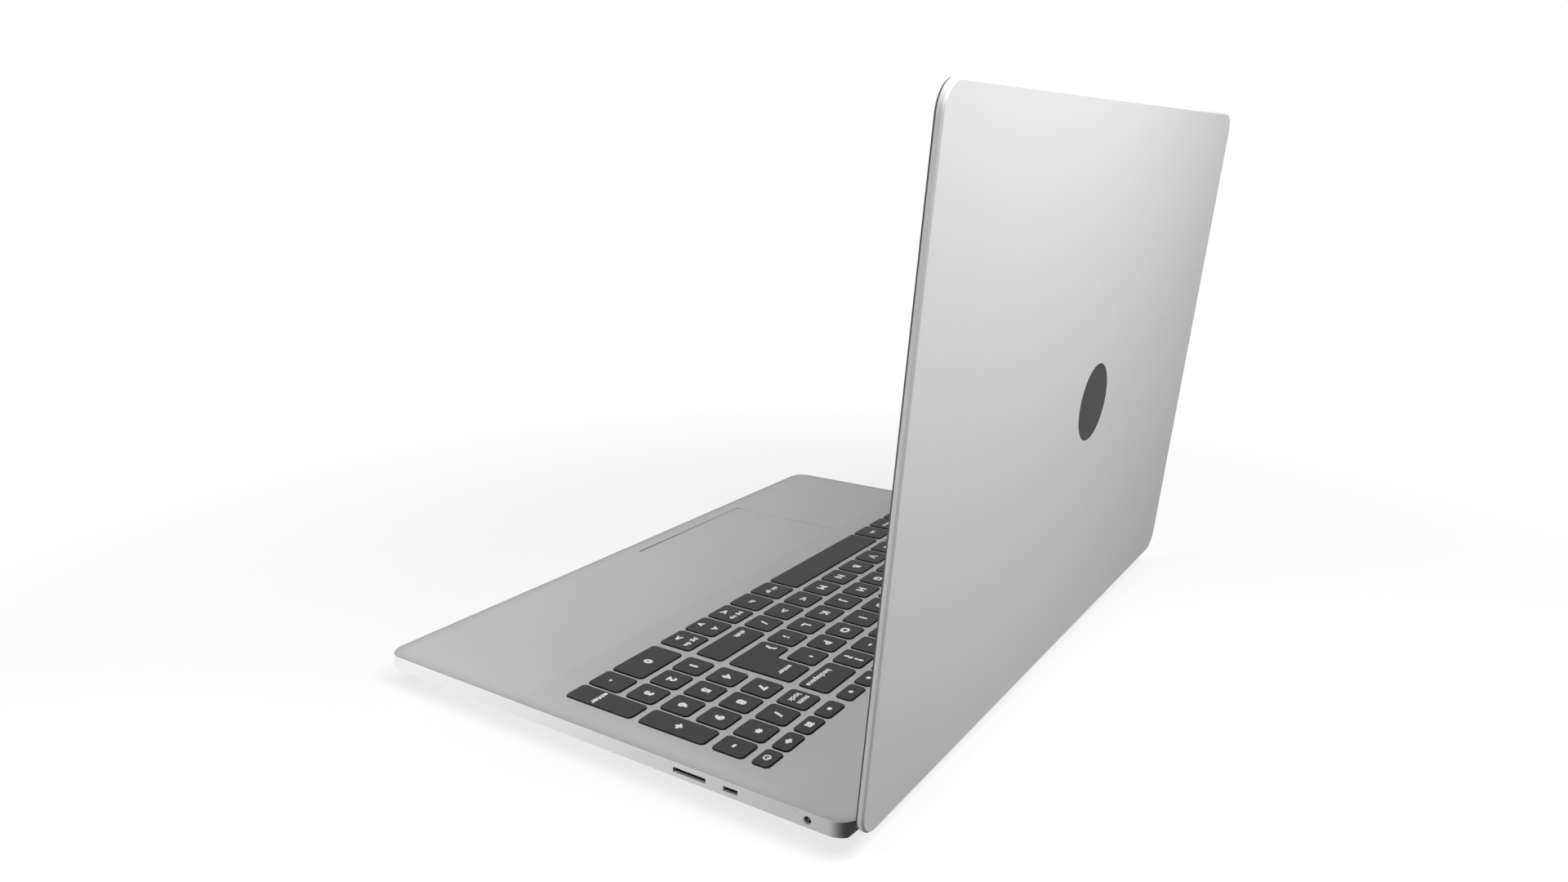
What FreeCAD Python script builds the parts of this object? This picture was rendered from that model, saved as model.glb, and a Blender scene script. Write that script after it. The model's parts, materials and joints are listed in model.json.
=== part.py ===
import FreeCAD, Part
import math
import os
import re
import Sketcher

# Laptop computer, millimetres. X runs to the user's right, Y to the rear, Z up.
# The origin is on the desk, under the middle of the open machine.

SIZES = {
    # Key caps, as seen from above
    "letter_width": 17.3,
    "letter_gap": 2.3,
    "narrow_width": 15.4,
    "backspace_width": 27.6,
    "grave_width": 14.6,
    "enter_width": 29.9,
    "enter_neck": 17.9,
    "right_shift_width": 38.0,
    "ctrl_width": 21.9,
    "numpad_width": 14.5,
    "numpad_last": 12.6,
    "numpad_gap": 2.0,
    "block_gap": 4.4,
    "row_depth": 15.8,
    "row_gap": 4.1,
    "space_depth": 18.6,
    "function_depth": 8.5,
    "function_gap": 2.0,
    "key_corner": 1.3,
    "key_clear": 0.4,
    "key_stand": 0.7,
    "key_thick": 2.2,
    "key_travel": 1.3,
    "dome_radius": 2.6,
    "dome_rest": 0.4,
    "membrane_thick": 0.2,
    "plate_thick": 0.5,
    "plate_margin": 2.5,
    "frame_rib": 1.6,
    # Base
    "deck_side": 16.4,
    "rear_strip": 47.8,
    "wall_height": 6.4,
    "belly_depth": 8.0,
    "belly_run": 20.0,
    "rear_run": 8.0,
    "base_corner": 10.0,
    "deck_thick": 1.2,
    "side_wall": 1.6,
    "rear_wall": 6.5,
    "rear_chamfer": 2.9,
    "rim_rise": 0.25,
    "rim_lip": 0.6,
    "dish_run": 8.0,
    "cover_thick": 1.3,
    "rim_width": 3.0,
    # Touchpad
    "touchpad_width": 104.5,
    "touchpad_depth": 76.5,
    "touchpad_thick": 2.0,
    "touchpad_corner": 1.5,
    "touchpad_front": 10.3,
    "touchpad_rear": 18.3,
    "touchpad_shift": -41.8,
    "touchpad_clear": 0.35,
    "pan_wall": 0.8,
    "pan_room": 2.0,
    "pan_side": 3.0,
    # Lid
    "lid_overhang": 0.4,
    "lid_lean": 5.1,
    "lid_gap": 0.8,
    "lid_drop": 2.4,
    "lid_rim": 2.5,
    "lid_wall": 2.0,
    "lid_skin": 0.9,
    "lid_corner": 11.0,
    "lid_edge": 0.8,
    "bezel_thick": 0.7,
    "bezel_side": 15.6,
    "bezel_top": 14.0,
    "bezel_chin": 35.0,
    "bezel_reveal": 0.2,
    "window_corner": 2.0,
    "panel_thick": 1.5,
    "panel_lap": 3.0,
    "badge_radius": 18.5,
    "badge_depth": 0.4,
    "badge_proud": 0.1,
    "badge_up": 126.6,
    "badge_shift": -9.5,
    "badge_clear": 0.1,
    "camera_window": 3.2,
    "camera_width": 24.0,
    "camera_depth": 5.0,
    "bumper_length": 14.0,
    "bumper_width": 2.4,
    "bumper_height": 0.5,
    "bumper_inset": 3.2,
    # Lid hinges
    "pivot_inset": 1.15,
    "pivot_drop": 1.7,
    "hinge_x": 130.0,
    "knuckle_radius": 2.0,
    "knuckle_length": 12.0,
    "arm_width": 8.0,
    "arm_thick": 1.0,
    "arm_neck": 2.4,
    "arm_length": 26.0,
    "pin_radius": 1.2,
    "pin_clear": 0.05,
    "hinge_side_gap": 0.4,
    "bracket_thick": 1.2,
    "bracket_length": 24.0,
    "notch_clear": 0.8,
    # Openings in the right wall, measured from the rear edge
    "card_from_rear": 74.65,
    "card_width": 16.5,
    "lock_from_rear": 54.25,
    "lock_width": 7.0,
    "slot_height": 2.2,
    "slot_drop": 3.25,
    "power_from_rear": 18.7,
    "power_radius": 1.7,
    "power_pin": 0.6,
    "port_wall": 0.9,
    "port_gap": 1.3,
    "lock_plate": 1.2,
    # Sockets in the left wall, measured from the rear edge
    "usb_from_rear": 58.0,
    "usb_pitch": 17.0,
    "usb_width": 8.94,
    "usb_height": 3.2,
    "usb_shell": 0.35,
    "usb_corner": 1.1,
    "usb_tongue": 0.7,
    "tongue_width": 6.7,
    "audio_from_rear": 172.0,
    "audio_radius": 1.8,
    # Feet and fasteners
    "foot_height": 1.6,
    "foot_sink": 0.5,
    "foot_clear": 0.1,
    "foot_width": 12.0,
    "front_foot_length": 42.0,
    "foot_inset": 6.0,
    "foot_end": 32.0,
    "foot_corner": 2.5,
    "screw_inset": 27.0,
    "screw_edge": 9.0,
    "screw_radius": 1.0,
    "screw_head": 2.2,
    "screw_length": 5.5,
    "screw_clear": 0.05,
    "boss_radius": 2.8,
    # Inside of the base
    "cell_gap": 2.0,
    "cell_thick": 5.6,
    "cell_corner": 3.0,
    "battery_side": 52.0,
    "battery_front": 34.0,
    "battery_depth": 62.0,
    "board_thick": 1.2,
    "seat_gap": 0.3,
    "board_gap": 3.0,
    "board_right": 26.0,
    "board_depth": 100.0,
    "fan_width": 66.0,
    "fan_depth": 62.0,
    "fan_height": 6.4,
    "fan_skin": 0.6,
    "fan_corner": 8.0,
    "fan_centre": -80.0,
    "fan_clear": 0.8,
    "volute_gap": 3.0,
    "outlet_width": 54.0,
    "blade_radius": 25.0,
    "blade_sweep": 9.0,
    "blade_thick": 0.5,
    "hub_radius": 10.0,
    "fan_shaft": 1.0,
    "shaft_clear": 0.05,
    "fin_depth": 12.0,
    "fin_pitch": 6.5,
    "fin_thick": 0.6,
    "chip_right": 64.0,
    "chip_front": 64.0,
    "chip_width": 42.0,
    "chip_depth": 26.0,
    "chip_thick": 1.3,
    "pipe_width": 8.0,
    "pipe_thick": 1.8,
    "pipe_bend": 16.0,
    "pipe_gap": 16.0,
    "card_thick": 0.8,
    "stick_width": 22.0,
    "stick_length": 80.0,
    "memory_length": 67.6,
    "memory_depth": 30.0,
    "radio_length": 30.0,
    "card_drop": 1.1,
    "card_inset": 20.0,
    "card_gap": 8.0,
    "socket_height": 2.6,
    "socket_depth": 6.0,
    "package_thick": 1.0,
    "package_inset": 3.0,
    "speaker_gap": 3.0,
    "speaker_width": 15.0,
    "speaker_length": 58.0,
    "speaker_height": 5.0,
    "cone_margin": 2.5,
    "cone_depth": 1.0,
    "vent_width": 2.0,
    "vent_length": 26.0,
    "vent_pitch": 4.5,
    "exhaust_lift": 0.8,
    "exhaust_height": 2.0,
    "exhaust_width": 5.0,
    "exhaust_pitch": 7.0,
}

COUNTS = {
    "letters": 10,
    "function_keys": 17,
    "battery_cells": 4,
    "fan_blades": 13,
    "vent_slots": 11,
    "exhaust_slots": 8,
}

# Sizes and places that follow from the driving ones
PLACES = {
    "main_width": "backspace_width + 2 * narrow_width + letters * letter_width + grave_width"
                  " + (letters + 3) * letter_gap",
    "numpad_total": "3 * (numpad_width + numpad_gap) + numpad_last",
    "keyboard_width": "main_width + block_gap + numpad_total",
    "keyboard_depth": "space_depth + 4 * row_depth + function_depth + 5 * row_gap",
    "base_width": "keyboard_width + 2 * deck_side",
    "palm_depth": "touchpad_front + touchpad_depth + touchpad_rear",
    "base_depth": "palm_depth + keyboard_depth + rear_strip",
    "half_width": "base_width / 2",
    "wall_z": "foot_height + belly_depth",
    "deck_z": "wall_z + wall_height",
    "roof_z": "deck_z - deck_thick",
    "floor_z": "foot_height + cover_thick",
    "inner_face": "pivot_drop + lid_gap",
    "outer_face": "inner_face + bezel_thick + lid_rim",
    "lid_top": "base_depth - pivot_inset",
    "lid_height": "lid_top + lid_drop",
    "lid_half": "half_width + lid_overhang",
    "lid_reach": "lid_top * sin(lid_lean) + outer_face * cos(lid_lean)",
    "front_y": "-(base_depth - pivot_inset + lid_reach) / 2",
    "rear_y": "front_y + base_depth",
    "pivot_y": "rear_y - pivot_inset",
    "pivot_z": "deck_z - pivot_drop",
    "main_left": "-keyboard_width / 2",
    "main_right": "main_left + main_width",
    "numpad_left": "main_right + block_gap",
    "row1_y": "front_y + palm_depth",
    "row2_y": "row1_y + space_depth + row_gap",
    "row3_y": "row2_y + row_depth + row_gap",
    "row4_y": "row3_y + row_depth + row_gap",
    "row5_y": "row4_y + row_depth + row_gap",
    "row6_y": "row5_y + row_depth + row_gap",
    "function_width": "(main_width - (function_keys - 1) * function_gap) / function_keys",
    "cap_z": "deck_z + key_stand - key_thick",
    "membrane_z": "cap_z - key_travel - dome_rest - membrane_thick",
    "plate_z": "membrane_z - plate_thick",
    "pad_z": "deck_z - touchpad_thick",
    "pad_x": "touchpad_shift - touchpad_width / 2",
    "pad_y": "front_y + touchpad_front",
    "cavity_front": "front_y + side_wall",
    "cavity_rear": "rear_y - rear_wall",
    "belly_front": "front_y + belly_run",
    "cover_rear": "rear_y - rear_chamfer",
    "belly_rear": "cover_rear - rear_run",
    "belly_half": "half_width - belly_run",
    "slot_z": "deck_z - slot_drop",
    "wall_x": "half_width - side_wall",
    "port_room": "deck_side - side_wall - plate_margin - port_gap",
    "board_z": "plate_z - seat_gap - board_thick",
    "board_y": "row6_y + function_depth - board_depth",
    "fan_z": "board_z + board_thick - fan_height",
    "fan_y": "belly_rear - fin_depth - fan_depth",
    "bearing_y": "fan_y + fan_depth / 2",
    "board_x": "fan_centre + fan_width / 2 + board_gap",
    "chip_x": "board_x + chip_right",
    "chip_y": "board_y + chip_front",
    "pipe_z": "board_z - chip_thick - pipe_thick",
    "pipe_x": "board_x + pipe_gap",
    "fin_x": "fan_centre - fan_width / 2",
    "fin_y": "belly_rear - fin_depth",
    "card_z": "board_z - card_drop - card_thick",
    "card_x": "chip_x + chip_width / 2 + card_inset",
    "screw_x": "half_width - screw_inset",
    "notch_half": "(knuckle_length + arm_width + 3 * hinge_side_gap) / 2",
    "skin_z": "lid_skin - outer_face",
    "arm_y": "lid_wall - lid_drop + seat_gap",
    "cell_width": "(base_width - 2 * battery_side - (battery_cells - 1) * cell_gap) / battery_cells",
}

ROW_Y = ("row1_y", "row2_y", "row3_y", "row4_y", "row5_y", "row6_y")

doc = FreeCAD.newDocument("laptop")
nodes = []


def fill_sheet(name, values):
    """A sheet whose second column holds the values, each under its alias."""
    table = doc.addObject("Spreadsheet::Sheet", name)
    for row, (alias, value) in enumerate(values.items(), 1):
        table.set(f"A{row}", alias)
        table.set(f"B{row}", str(value))
        table.setAlias(f"B{row}", alias)
    return table


def link(text):
    """The expression with each alias led by the name of its sheet."""
    def lead(match):
        word = match.group()
        if word in SIZES or word in COUNTS:
            return "sizes." + word
        return "places." + word if word in PLACES else word
    return re.sub(r"[A-Za-z_][A-Za-z_0-9]*", lead, text)


sizes = fill_sheet("sizes", {**SIZES, **COUNTS})
doc.recompute()
places = fill_sheet("places", {alias: "=" + link(text) for alias, text in PLACES.items()})
doc.recompute()


def number(text):
    return float(sizes.evalExpression(link(text)))


def bind(obj, **texts):
    for prop, text in texts.items():
        obj.setExpression(prop, link(text))


def place(obj, x="0", y="0", z="0"):
    for axis, text in zip("xyz", (x, y, z)):
        obj.setExpression("Placement.Base." + axis, link(text))


def node(name, obj):
    """Name a finished sub-part, which is written to the file of that name."""
    obj.Label = name
    nodes.append(obj)
    return obj


def on_lid(obj):
    """Turn a piece drawn flat about the hinge axis to where the open lid stands."""
    obj.Placement = FreeCAD.Placement(FreeCAD.Vector(), FreeCAD.Rotation(FreeCAD.Vector(1, 0, 0), 90))
    place(obj, y="pivot_y", z="pivot_z")
    obj.setExpression("Placement.Rotation.Angle", link("90 - lid_lean"))
    return obj


def block(name, low, size):
    obj = doc.addObject("Part::Box", name)
    bind(obj, Length=size[0], Width=size[1], Height=size[2])
    place(obj, *low)
    return obj


def rod(name, low, radius, length, axis="Z"):
    """A cylinder that starts at low and runs along the named axis."""
    obj = doc.addObject("Part::Cylinder", name)
    turn = {"X": FreeCAD.Rotation(FreeCAD.Vector(0, 1, 0), 90), "Z": FreeCAD.Rotation()}[axis]
    obj.Placement = FreeCAD.Placement(FreeCAD.Vector(), turn)
    bind(obj, Radius=radius, Height=length)
    place(obj, *low)
    return obj


def is_upright(edge):
    low, high = edge.Vertexes[0].Point, edge.Vertexes[-1].Point
    return abs(high.z - low.z) > 0.999 * edge.Length


def eased(kind, base, size, test=is_upright):
    """Fillet or chamfer the edges of base that pass the test."""
    doc.recompute([base])
    obj = doc.addObject("Part::" + kind, base.Name + "_eased")
    obj.Base = base
    amount = number(size)
    obj.Edges = [(i, amount, amount) for i, edge in enumerate(base.Shape.Edges, 1) if test(edge)]
    return obj


def group(name, members):
    obj = doc.addObject("Part::Compound", name)
    obj.Links = members
    return obj


def cut(name, base, tools):
    obj = doc.addObject("Part::Cut", name)
    obj.Base = base
    obj.Tool = tools[0] if len(tools) == 1 else group(name + "_tools", tools)
    return obj


def fuse(name, members):
    obj = doc.addObject("Part::MultiFuse", name)
    obj.Shapes = members
    return obj


def new_body(name):
    return doc.addObject("PartDesign::Body", name)


def sketch_on(body, role, name, offset="0"):
    plane = next(item for item in body.Origin.OriginFeatures if item.Role == role)
    sketch = body.newObject("Sketcher::SketchObject", name)
    sketch.AttachmentSupport = [(plane, "")]
    sketch.MapMode = "FlatFace"
    sketch.setExpression("AttachmentOffset.Base.z", link(offset))
    return sketch


def hold(sketch, kind, refs, text):
    """A driving constraint bound to an expression."""
    index = sketch.addConstraint(Sketcher.Constraint(kind, *refs, number(text)))
    sketch.setExpression(f"Constraints[{index}]", link(text))


def rounded_rectangle(sketch, low, high, radius):
    """A rectangle between two corners, given as expressions, with equal round corners."""
    x0, y0, x1, y1 = (number(text) for text in (*low, *high))
    r = number(radius)
    corners = [(x1 - r, y0 + r, -90), (x1 - r, y1 - r, 0), (x0 + r, y1 - r, 90), (x0 + r, y0 + r, 180)]
    first = sketch.GeometryCount
    for cx, cy, start in corners:
        circle = Part.Circle(FreeCAD.Vector(cx, cy, 0), FreeCAD.Vector(0, 0, 1), r)
        sketch.addGeometry(Part.ArcOfCircle(circle, math.radians(start), math.radians(start + 90)))
    for i in range(4):
        a = sketch.getPoint(first + i, 2)
        b = sketch.getPoint(first + (i + 1) % 4, 1)
        line = sketch.addGeometry(Part.LineSegment(a, b))
        sketch.addConstraint(Sketcher.Constraint("Tangent", first + i, 2, line, 1))
        sketch.addConstraint(Sketcher.Constraint("Tangent", line, 2, first + (i + 1) % 4, 1))
        sketch.addConstraint(Sketcher.Constraint("Vertical" if i % 2 == 0 else "Horizontal", line))
    for i in range(1, 4):
        sketch.addConstraint(Sketcher.Constraint("Equal", first, first + i))
    hold(sketch, "Radius", (first,), radius)
    right, top, left, bottom = (first + 4 + i for i in range(4))
    hold(sketch, "DistanceX", (-1, 1, left, 1), low[0])
    hold(sketch, "DistanceX", (-1, 1, right, 1), high[0])
    hold(sketch, "DistanceY", (-1, 1, bottom, 1), low[1])
    hold(sketch, "DistanceY", (-1, 1, top, 1), high[1])


def polygon(sketch, points):
    """A closed outline of straight lines whose corners are pairs of expressions."""
    values = [FreeCAD.Vector(number(x), number(y), 0) for x, y in points]
    first = sketch.GeometryCount
    count = len(points)
    for i in range(count):
        sketch.addGeometry(Part.LineSegment(values[i], values[(i + 1) % count]))
    for i in range(count):
        sketch.addConstraint(Sketcher.Constraint("Coincident", first + i, 2, first + (i + 1) % count, 1))
    for i, (x, y) in enumerate(points):
        hold(sketch, "DistanceX", (-1, 1, first + i, 1), x)
        hold(sketch, "DistanceY", (-1, 1, first + i, 1), y)


def rectangle(sketch, low, high):
    polygon(sketch, [low, (high[0], low[1]), high, (low[0], high[1])])


def chamfered_rectangle(sketch, low, high, size):
    """A rectangle between two corners, given as expressions, with its corners cut off."""
    left, right = (f"{low[0]} + {size}", f"{high[0]} - {size}")
    bottom, top = (f"{low[1]} + {size}", f"{high[1]} - {size}")
    polygon(sketch, [(left, low[1]), (right, low[1]), (high[0], bottom), (high[0], top),
                     (right, high[1]), (left, high[1]), (low[0], top), (low[0], bottom)])


def circle(sketch, x, y, radius):
    centre = FreeCAD.Vector(number(x), number(y), 0)
    index = sketch.addGeometry(Part.Circle(centre, FreeCAD.Vector(0, 0, 1), number(radius)))
    hold(sketch, "DistanceX", (-1, 1, index, 3), x)
    hold(sketch, "DistanceY", (-1, 1, index, 3), y)
    hold(sketch, "Radius", (index,), radius)


def hexagon(sketch, x, y, radius):
    turns = [60 * i for i in range(6)]
    polygon(sketch, [(f"{x} + {radius} * cos({turn})", f"{y} + {radius} * sin({turn})") for turn in turns])


def feature(body, kind, name, sketch, **texts):
    """A sketch-based feature that becomes the body's tip."""
    obj = body.newObject("PartDesign::" + kind, name)
    obj.Profile = sketch
    bind(obj, **texts)
    body.Tip = obj
    return obj


def ease_body(body, kind, name, size, test):
    """Fillet or chamfer the edges of a body's tip that pass the test."""
    doc.recompute()
    base = body.Tip
    edges = [f"Edge{i}" for i, edge in enumerate(base.Shape.Edges, 1) if test(edge)]
    obj = body.newObject("PartDesign::" + kind, name)
    obj.Base = (base, edges)
    bind(obj, **size)
    body.Tip = obj
    return obj


def pattern(body, kind, name, original, axis, **texts):
    """Repeat a feature along or about one of the body's own axes."""
    obj = body.newObject("PartDesign::" + kind, name)
    obj.Originals = [original]
    line = next(item for item in body.Origin.OriginFeatures if item.Role == axis)
    setattr(obj, "Direction" if kind == "LinearPattern" else "Axis", (line, [""]))
    bind(obj, **texts)
    body.Tip = obj
    return obj


def lies_at(z):
    """A test for edges that lie flat at the height z."""
    def test(edge):
        return all(abs(vertex.Z - z) < 1e-4 for vertex in edge.Vertexes)
    return test


class Key:
    """One key cap: the groups it belongs to and its outline as expressions."""

    def __init__(self, owner, x, y, width, depth):
        self.owner = owner
        self.spans = [(x, y, width, depth)]


def row_from_right(row, widths, owners, depth):
    """Keys laid from the right edge of the main block to the left."""
    keys = []
    offset = ""
    for width, owner in zip(widths, owners):
        keys.append(Key(owner, f"main_right - ({offset}{width})", ROW_Y[row], width, depth))
        offset += f"{width} + letter_gap + "
    return keys, offset


def filled_row(row, widths, owners, depth, left_owner):
    """A row whose leftmost key takes up what is left of the main block."""
    keys, offset = row_from_right(row, widths, owners, depth)
    keys.append(Key(left_owner, "main_left", ROW_Y[row], f"main_width - ({offset}0)", depth))
    return keys


def main_block():
    letters = COUNTS["letters"]
    keys, _ = row_from_right(
        4, ["backspace_width"] + ["narrow_width"] * 2 + ["letter_width"] * letters + ["grave_width"],
        ["backspace_key"] + ["number_keys"] * (letters + 3), "row_depth")
    upper = ["enter_neck"] + ["narrow_width"] * 3 + ["letter_width"] * 8
    keys += filled_row(3, upper, ["enter_key"] + ["upper_letter_keys"] * 11, "row_depth", "tab_key")
    home = ["enter_width"] + ["narrow_width"] * 2 + ["letter_width"] * 8
    keys += filled_row(2, home, ["enter_key"] + ["home_letter_keys"] * 10, "row_depth", "caps_lock_key")
    lower = ["right_shift_width", "narrow_width"] + ["letter_width"] * 10
    keys += filled_row(1, lower, ["right_shift_key"] + ["lower_letter_keys"] * 11, "row_depth",
                       "left_shift_key")
    return join_enter(keys) + space_row() + function_row()


def join_enter(keys):
    """The enter key is one cap over two rows: its neck reaches down to the wide part."""
    neck, foot = [key for key in keys if key.owner == "enter_key"]
    x, y, width, depth = neck.spans[0]
    foot.spans.append((x, f"{y} - row_gap - row_depth / 2", width, f"{depth} + row_gap + row_depth / 2"))
    keys.remove(neck)
    return keys


def space_row():
    right = ["right_arrow_key", "vertical_arrow_key", "left_arrow_key", "modifier_keys", "modifier_keys"]
    keys, right_end = row_from_right(0, ["letter_width"] * 5, right, "space_depth")
    left_end = "ctrl_width + letter_gap"
    keys.append(Key("modifier_keys", "main_left", ROW_Y[0], "ctrl_width", "space_depth"))
    for _ in range(3):
        keys.append(Key("modifier_keys", f"main_left + {left_end}", ROW_Y[0], "letter_width", "space_depth"))
        left_end += " + letter_width + letter_gap"
    keys.append(Key("space_bar", f"main_left + {left_end}", ROW_Y[0],
                    f"main_width - ({right_end}0) - ({left_end})", "space_depth"))
    return keys


def function_row():
    return [Key("function_keys", f"main_left + {i} * (function_width + function_gap)", ROW_Y[5],
                "function_width", "function_depth") for i in range(COUNTS["function_keys"])]


def numpad():
    columns = [f"numpad_left + {i} * (numpad_width + numpad_gap)" for i in range(4)]
    widths = ["numpad_width"] * 3 + ["numpad_last"]
    keys = [Key("numpad_zero_key", columns[0], ROW_Y[0], "2 * numpad_width + numpad_gap", "space_depth"),
            Key("numpad_keys", columns[2], ROW_Y[0], "numpad_width", "space_depth"),
            Key("numpad_enter_key", columns[3], ROW_Y[0], "numpad_last", "space_depth + row_gap + row_depth"),
            Key("numpad_plus_key", columns[3], ROW_Y[2], "numpad_last", "2 * row_depth + row_gap")]
    for row in (1, 2, 3):
        keys += [Key("numpad_keys", columns[i], ROW_Y[row], widths[i], "row_depth") for i in range(3)]
    keys += [Key("numpad_keys", columns[i], ROW_Y[4], widths[i], "row_depth") for i in range(4)]
    keys += [Key("function_keys", columns[i], ROW_Y[5], widths[i], "function_depth") for i in range(3)]
    keys.append(Key("power_key", columns[3], ROW_Y[5], widths[3], "function_depth"))
    return keys


def key_solid(name, key, grow, z, height):
    """The outline of a key, grown on every side, between two heights."""
    blocks = [block(f"{name}_{i}", (f"{x} - {grow}", f"{y} - {grow}", z),
                    (f"{width} + 2 * {grow}", f"{depth} + 2 * {grow}", height))
              for i, (x, y, width, depth) in enumerate(key.spans)]
    if len(blocks) == 1:
        return blocks[0]
    whole = fuse(name, blocks)
    whole.Refine = True
    return whole


def make_keys(keys):
    """Key caps in one node for each group, and the dome under every cap."""
    owners = {}
    domes = [block("membrane", ("main_left - plate_margin", "row1_y - plate_margin", "membrane_z"),
                   ("keyboard_width + 2 * plate_margin", "keyboard_depth + 2 * plate_margin",
                    "membrane_thick"))]
    for i, key in enumerate(keys):
        cap = eased("Chamfer", key_solid(f"cap{i}", key, "0", "cap_z", "key_thick"), "key_corner")
        owners.setdefault(key.owner, []).append(cap)
        x, y, width, depth = key.spans[0]
        dome = doc.addObject("Part::Prism", f"dome{i}")
        dome.Polygon = 4
        bind(dome, Circumradius="dome_radius", Height="key_travel + dome_rest")
        place(dome, f"{x} + ({width}) / 2", f"{y} + ({depth}) / 2", "membrane_z + membrane_thick")
        domes.append(dome)
    for owner, caps in owners.items():
        node(owner, caps[0] if len(caps) == 1 else group(owner + "_group", caps))
    node("key_domes", group("domes", domes))
    plate = block("backing", ("main_left - plate_margin", "row1_y - plate_margin", "plate_z"),
                  ("keyboard_width + 2 * plate_margin", "keyboard_depth + 2 * plate_margin", "plate_thick"))
    node("keyboard_plate", plate)


def deck_shell():
    """The top case before it is pierced: dished deck, side walls, keyboard frame and screw bosses."""
    body = new_body("deck")
    outline = sketch_on(body, "XY_Plane", "deck_outline", "wall_z")
    rounded_rectangle(outline, ("-half_width", "front_y"), ("half_width", "rear_y"), "base_corner")
    feature(body, "Pad", "deck_pad", outline, Length="wall_height + rim_rise")
    ease_body(body, "Chamfer", "deck_rim", {"Size": "rim_lip"}, lies_at(number("deck_z + rim_rise")))
    dish = [sketch_on(body, "XY_Plane", "dish_floor", "deck_z"),
            sketch_on(body, "XY_Plane", "dish_edge", "deck_z + rim_rise")]
    for sketch, inset, corner in zip(dish, ("(2 * rim_lip + dish_run)", "2 * rim_lip"),
                                     ("base_corner / 4", "base_corner / 2")):
        chamfered_rectangle(sketch, (f"-half_width + {inset}", f"front_y + {inset}"),
                            (f"half_width - {inset}", f"rear_y - {inset}"), corner)
    loft(body, "SubtractiveLoft", "deck_dish", *dish)
    cavity = sketch_on(body, "XY_Plane", "cavity_outline", "wall_z")
    rounded_rectangle(cavity, ("-wall_x", "cavity_front"), ("wall_x", "cavity_rear"),
                      "base_corner - side_wall")
    feature(body, "Pocket", "cavity", cavity, Length="wall_height - deck_thick").Reversed = True
    lip = sketch_on(body, "YZ_Plane", "rear_lip", "-half_width - side_wall")
    below = "wall_z - side_wall"
    behind = "rear_y + side_wall"
    polygon(lip, [("cover_rear - side_wall", below), (behind, below),
                  (behind, "wall_z + rear_chamfer + side_wall")])
    feature(body, "Pocket", "rear_slope", lip, Length="base_width + 2 * side_wall").Reversed = True
    frame = sketch_on(body, "XY_Plane", "frame_outline", "membrane_z + membrane_thick")
    for inset in ("0", "frame_rib"):
        rectangle(frame, (f"main_left - plate_margin + {inset}", f"row1_y - plate_margin + {inset}"),
                  (f"-main_left + plate_margin - {inset}",
                   f"row6_y + function_depth + plate_margin - {inset}"))
    feature(body, "Pad", "keyboard_frame", frame, Length="roof_z - membrane_z - membrane_thick")
    bosses = sketch_on(body, "XY_Plane", "boss_places", "floor_z")
    bores = sketch_on(body, "XY_Plane", "boss_bores", "floor_z")
    for x, y in SCREW_PLACES:
        hexagon(bosses, x, y, "boss_radius")
        circle(bores, x, y, "screw_radius + screw_clear")
    feature(body, "Pad", "bosses", bosses, Length="roof_z - floor_z")
    feature(body, "Pocket", "bores", bores, Length="screw_length").Reversed = True
    return body


def wall_slot(name, side, from_rear, width, height):
    """A straight opening through a side wall, centred on the line of the sockets."""
    x = "wall_x - side_wall" if side > 0 else "-half_width - side_wall"
    return block(name, (x, f"rear_y - {from_rear} - {width} / 2", f"slot_z - {height} / 2"),
                 ("3 * side_wall", width, height))


def runs_along_x(edge):
    low, high = edge.Vertexes[0].Point, edge.Vertexes[-1].Point
    return abs(high.x - low.x) > 0.999 * edge.Length


def wall_hole(name, side, from_rear, radius):
    x = "wall_x - side_wall" if side > 0 else "-half_width - side_wall"
    return rod(name, (x, f"rear_y - {from_rear}", "slot_z"), radius, "3 * side_wall", "X")


def usb_rear(i):
    return f"(usb_from_rear + {i} * usb_pitch)"


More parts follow.
